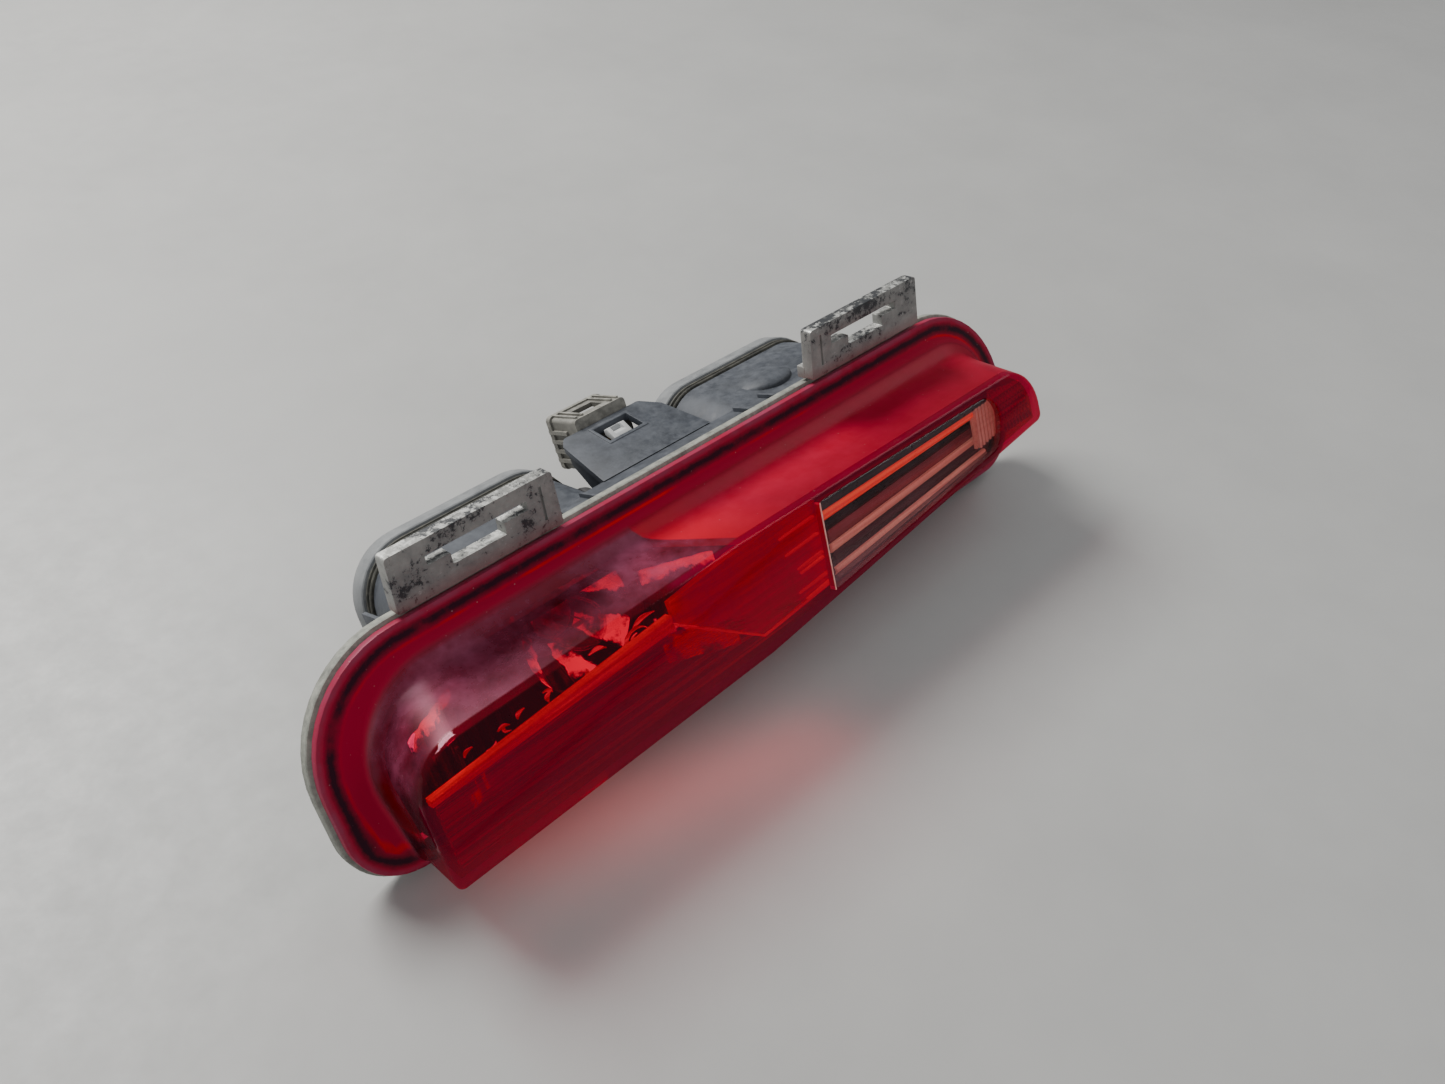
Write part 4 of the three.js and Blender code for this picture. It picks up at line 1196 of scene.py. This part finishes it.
def connector_shell():
    """The socket behind the tab, with a latch window, guide ribs and a stepped collar."""
    half, front, back, low, top, wall = 11, 48, 66, 61, 80, 1.6
    shell = plate(rectangle(-half, half, low, top, 1.5), front, back, 5)
    collar = plate(rectangle(-half - 0.7, half + 0.7, low - 0.2, top + 0.6, 1.8), back - 3.4, back - 1.2, 5)
    ribs = [block((x - 0.5, front + 1, top - 0.5), (x + 0.5, back - 2, top + 0.7))
            for x in (-9, -6.4, 6.4, 9)]
    sides = [block((side * half - 0.8, back - 12, z), (side * half + 0.8, back - 1, z + 1.4))
             for side in (-1, 1) for z in (64, 67.5, 71, 74.5)]
    outer = join(shell, collar, *ribs, *sides)
    socket = block((-half + wall, front + wall, low + wall), (half - wall, back + PAST, top - wall))
    window = block((-4.5, front + 4, top - wall - 1), (4.5, front + 11, top + PAST))
    holes = [block((x - 1.3, front - PAST, 67.8), (x + 1.3, front + wall + PAST, 69.2))
             for x in (-5.5, 0, 5.5)]
    return soften(cut(outer, socket, window, *holes), 0.22)


# ---- the lamp ----
def build_lens():
    lens = outer_lens()
    edge_distance(lens.data)
    piece("outer_lens_red", lens, LENS_RED, stands_for="outer_lens")
    piece("window_pane", window_lens(), WINDOW_CLEAR, stands_for="window_lens")
    piece("ribbed_strip", ribbed_strip(), STRIP_RED, stands_for="lower_optic")
    piece("bright_bar", light_bar(), BAR_RED, stands_for="light_bar")
    block_body, block_ridges = centre_optic()
    piece("centre_block", block_body, BLOCK_RED, stands_for="centre_optic")
    piece("block_ridges", block_ridges, RIDGE_RED)
    piece("tip_ribs", tip_ribs(), TIP_RED)
    piece("stop_bowl", stop_reflector(), GLINT_PAINTED_MIRROR, stands_for="stop_reflector")
    piece("stop_mask", chamber_mask(), GLOSS_BLACK, stands_for="chamber_mask")
    piece("side_mirrors", side_mirrors(), GLINT_PAINTED_MIRROR)
    piece("chamber_glints", chamber_glints(), GLINT_RED)
    window_bars()
    piece("window_end", window_end(), BAND_PEACH)
    piece("window_edge", window_edge(), EDGE_PINK)


def build_housing():
    piece("housing_shell", housing_body(), HOUSING_GREY, stands_for="housing")
    piece("housing_rim", rim(), RIM_GREY)
    for word, side in (("left", -1), ("right", 1)):
        piece(f"cap_{word}", rear_cap(side), CAP_GREY, stands_for=f"rear_cap_{word}")
        piece(f"seal_{word}", gasket(side), RUBBER, stands_for=f"gasket_{word}")
        piece(f"slotted_bracket_{word}", bracket(side), BRACKET_SILVER, stands_for=f"bracket_{word}")
    piece("top_tab", centre_tab(), HOUSING_GREY, stands_for="centre_tab")
    piece("side_screw", side_screw(), HOLDER_BLACK)
    piece("spring_catch", tab_catch(), CATCH_GREY, "catch", stands_for="tab_catch")
    piece("socket_shell", connector_shell(), CONNECTOR_GREY, stands_for="connector_shell")


def build_bulbs():
    for use in BULB_X:
        piece(f"{use}_glass", bulb_glass(use), BULB_CLEAR, f"{use}_bulb", f"{use}_bulb_glass")
        piece(f"{use}_filament", filament(use), FILAMENT, f"{use}_bulb")
        piece(f"{use}_base", bulb_base(use), BULB_METAL, f"{use}_bulb", f"{use}_bulb_base")
        piece(f"{use}_holder_body", bulb_holder(use), HOLDER_BLACK, f"{use}_holder", f"{use}_bulb_holder")
        piece(f"{use}_seal", holder_seal(use), RUBBER, f"{use}_holder", f"{use}_holder_seal")


def recoat_contacts():
    """Gives the pins and feed strips, which keep their CAD shapes, a better material."""
    for node in ("connector_pin_stop", "connector_pin_ground", "connector_pin_reverse", "stop_feed_strip",
                 "reverse_feed_strip"):
        mesh = frame["nodes"][node].data
        mesh.materials.clear()
        mesh.materials.append(BRASS)


# ---- stage ----
def add_floor():
    half = 3.0
    bm = bmesh.new()
    corners = [bm.verts.new((x * half, y * half, 0)) for x, y in ((-1, -1), (1, -1), (1, 1), (-1, 1))]
    bm.faces.new(corners)
    mesh = bpy.data.meshes.new("floor")
    bm.to_mesh(mesh)
    bm.free()
    floor = bpy.data.objects.new("floor", mesh)
    mesh.materials.append(floor_paint())
    bpy.context.scene.collection.objects.link(floor)


def area_light(name, place, target, size, power, color=(1, 1, 1)):
    data = bpy.data.lights.new(name, "AREA")
    data.shape = "RECTANGLE"
    data.size, data.size_y = size
    data.energy = power
    data.color = color
    light = bpy.data.objects.new(name, data)
    light.location = place
    light.rotation_euler = (Vector(target) - Vector(place)).to_track_quat("-Z", "Y").to_euler()
    bpy.context.scene.collection.objects.link(light)
    return light


def add_lights():
    area_light("key", (-0.2, 0.9, 0.9), (0, 0, 0), (0.7, 0.45), 27, (1, 0.985, 0.96))
    area_light("front_fill", (-0.9, -0.7, 0.7), (0, 0, 0.03), (0.9, 0.6), 5, (0.97, 0.98, 1))
    area_light("right_soft", (0.9, -0.2, 0.9), (0, 0, 0), (0.8, 0.8), 4)
    # Daylight that has passed the lens falls red on the floor in front of its left half.
    through = area_light("through_lens", (-0.062, -0.061, 0.02), (-0.066, -0.073, 0), (0.12, 0.012), 0.012,
                         (1, 0.02, 0.02))
    through.visible_camera = False
    through.visible_glossy = False
    world = bpy.data.worlds.new("studio")
    world.use_nodes = True
    background = world.node_tree.nodes["Background"]
    background.inputs["Color"].default_value = (0.93, 0.95, 1, 1)
    background.inputs["Strength"].default_value = 0.3
    bpy.context.scene.world = world


def add_camera():
    """The view from above the front's left end."""
    right = Vector((0.7096, -0.7030, 0.0472)).normalized()
    back = Vector((-0.5419, -0.5017, 0.6742)).normalized()
    up = back.cross(right).normalized()
    right = up.cross(back)
    data = bpy.data.cameras.new("camera")
    data.sensor_width = 36
    data.lens = 30.94
    data.clip_start = 0.01
    camera = bpy.data.objects.new("camera", data)
    place = LAMP.translation + Vector((-219.4, -185.2, 302.6)) * MM
    camera.matrix_world = Matrix.Translation(place) @ Matrix((right, up, back)).transposed().to_4x4()
    bpy.context.scene.collection.objects.link(camera)
    bpy.context.scene.camera = camera


add_camera()
add_floor()
add_lights()
build_lens()
build_housing()
build_bulbs()
recoat_contacts()
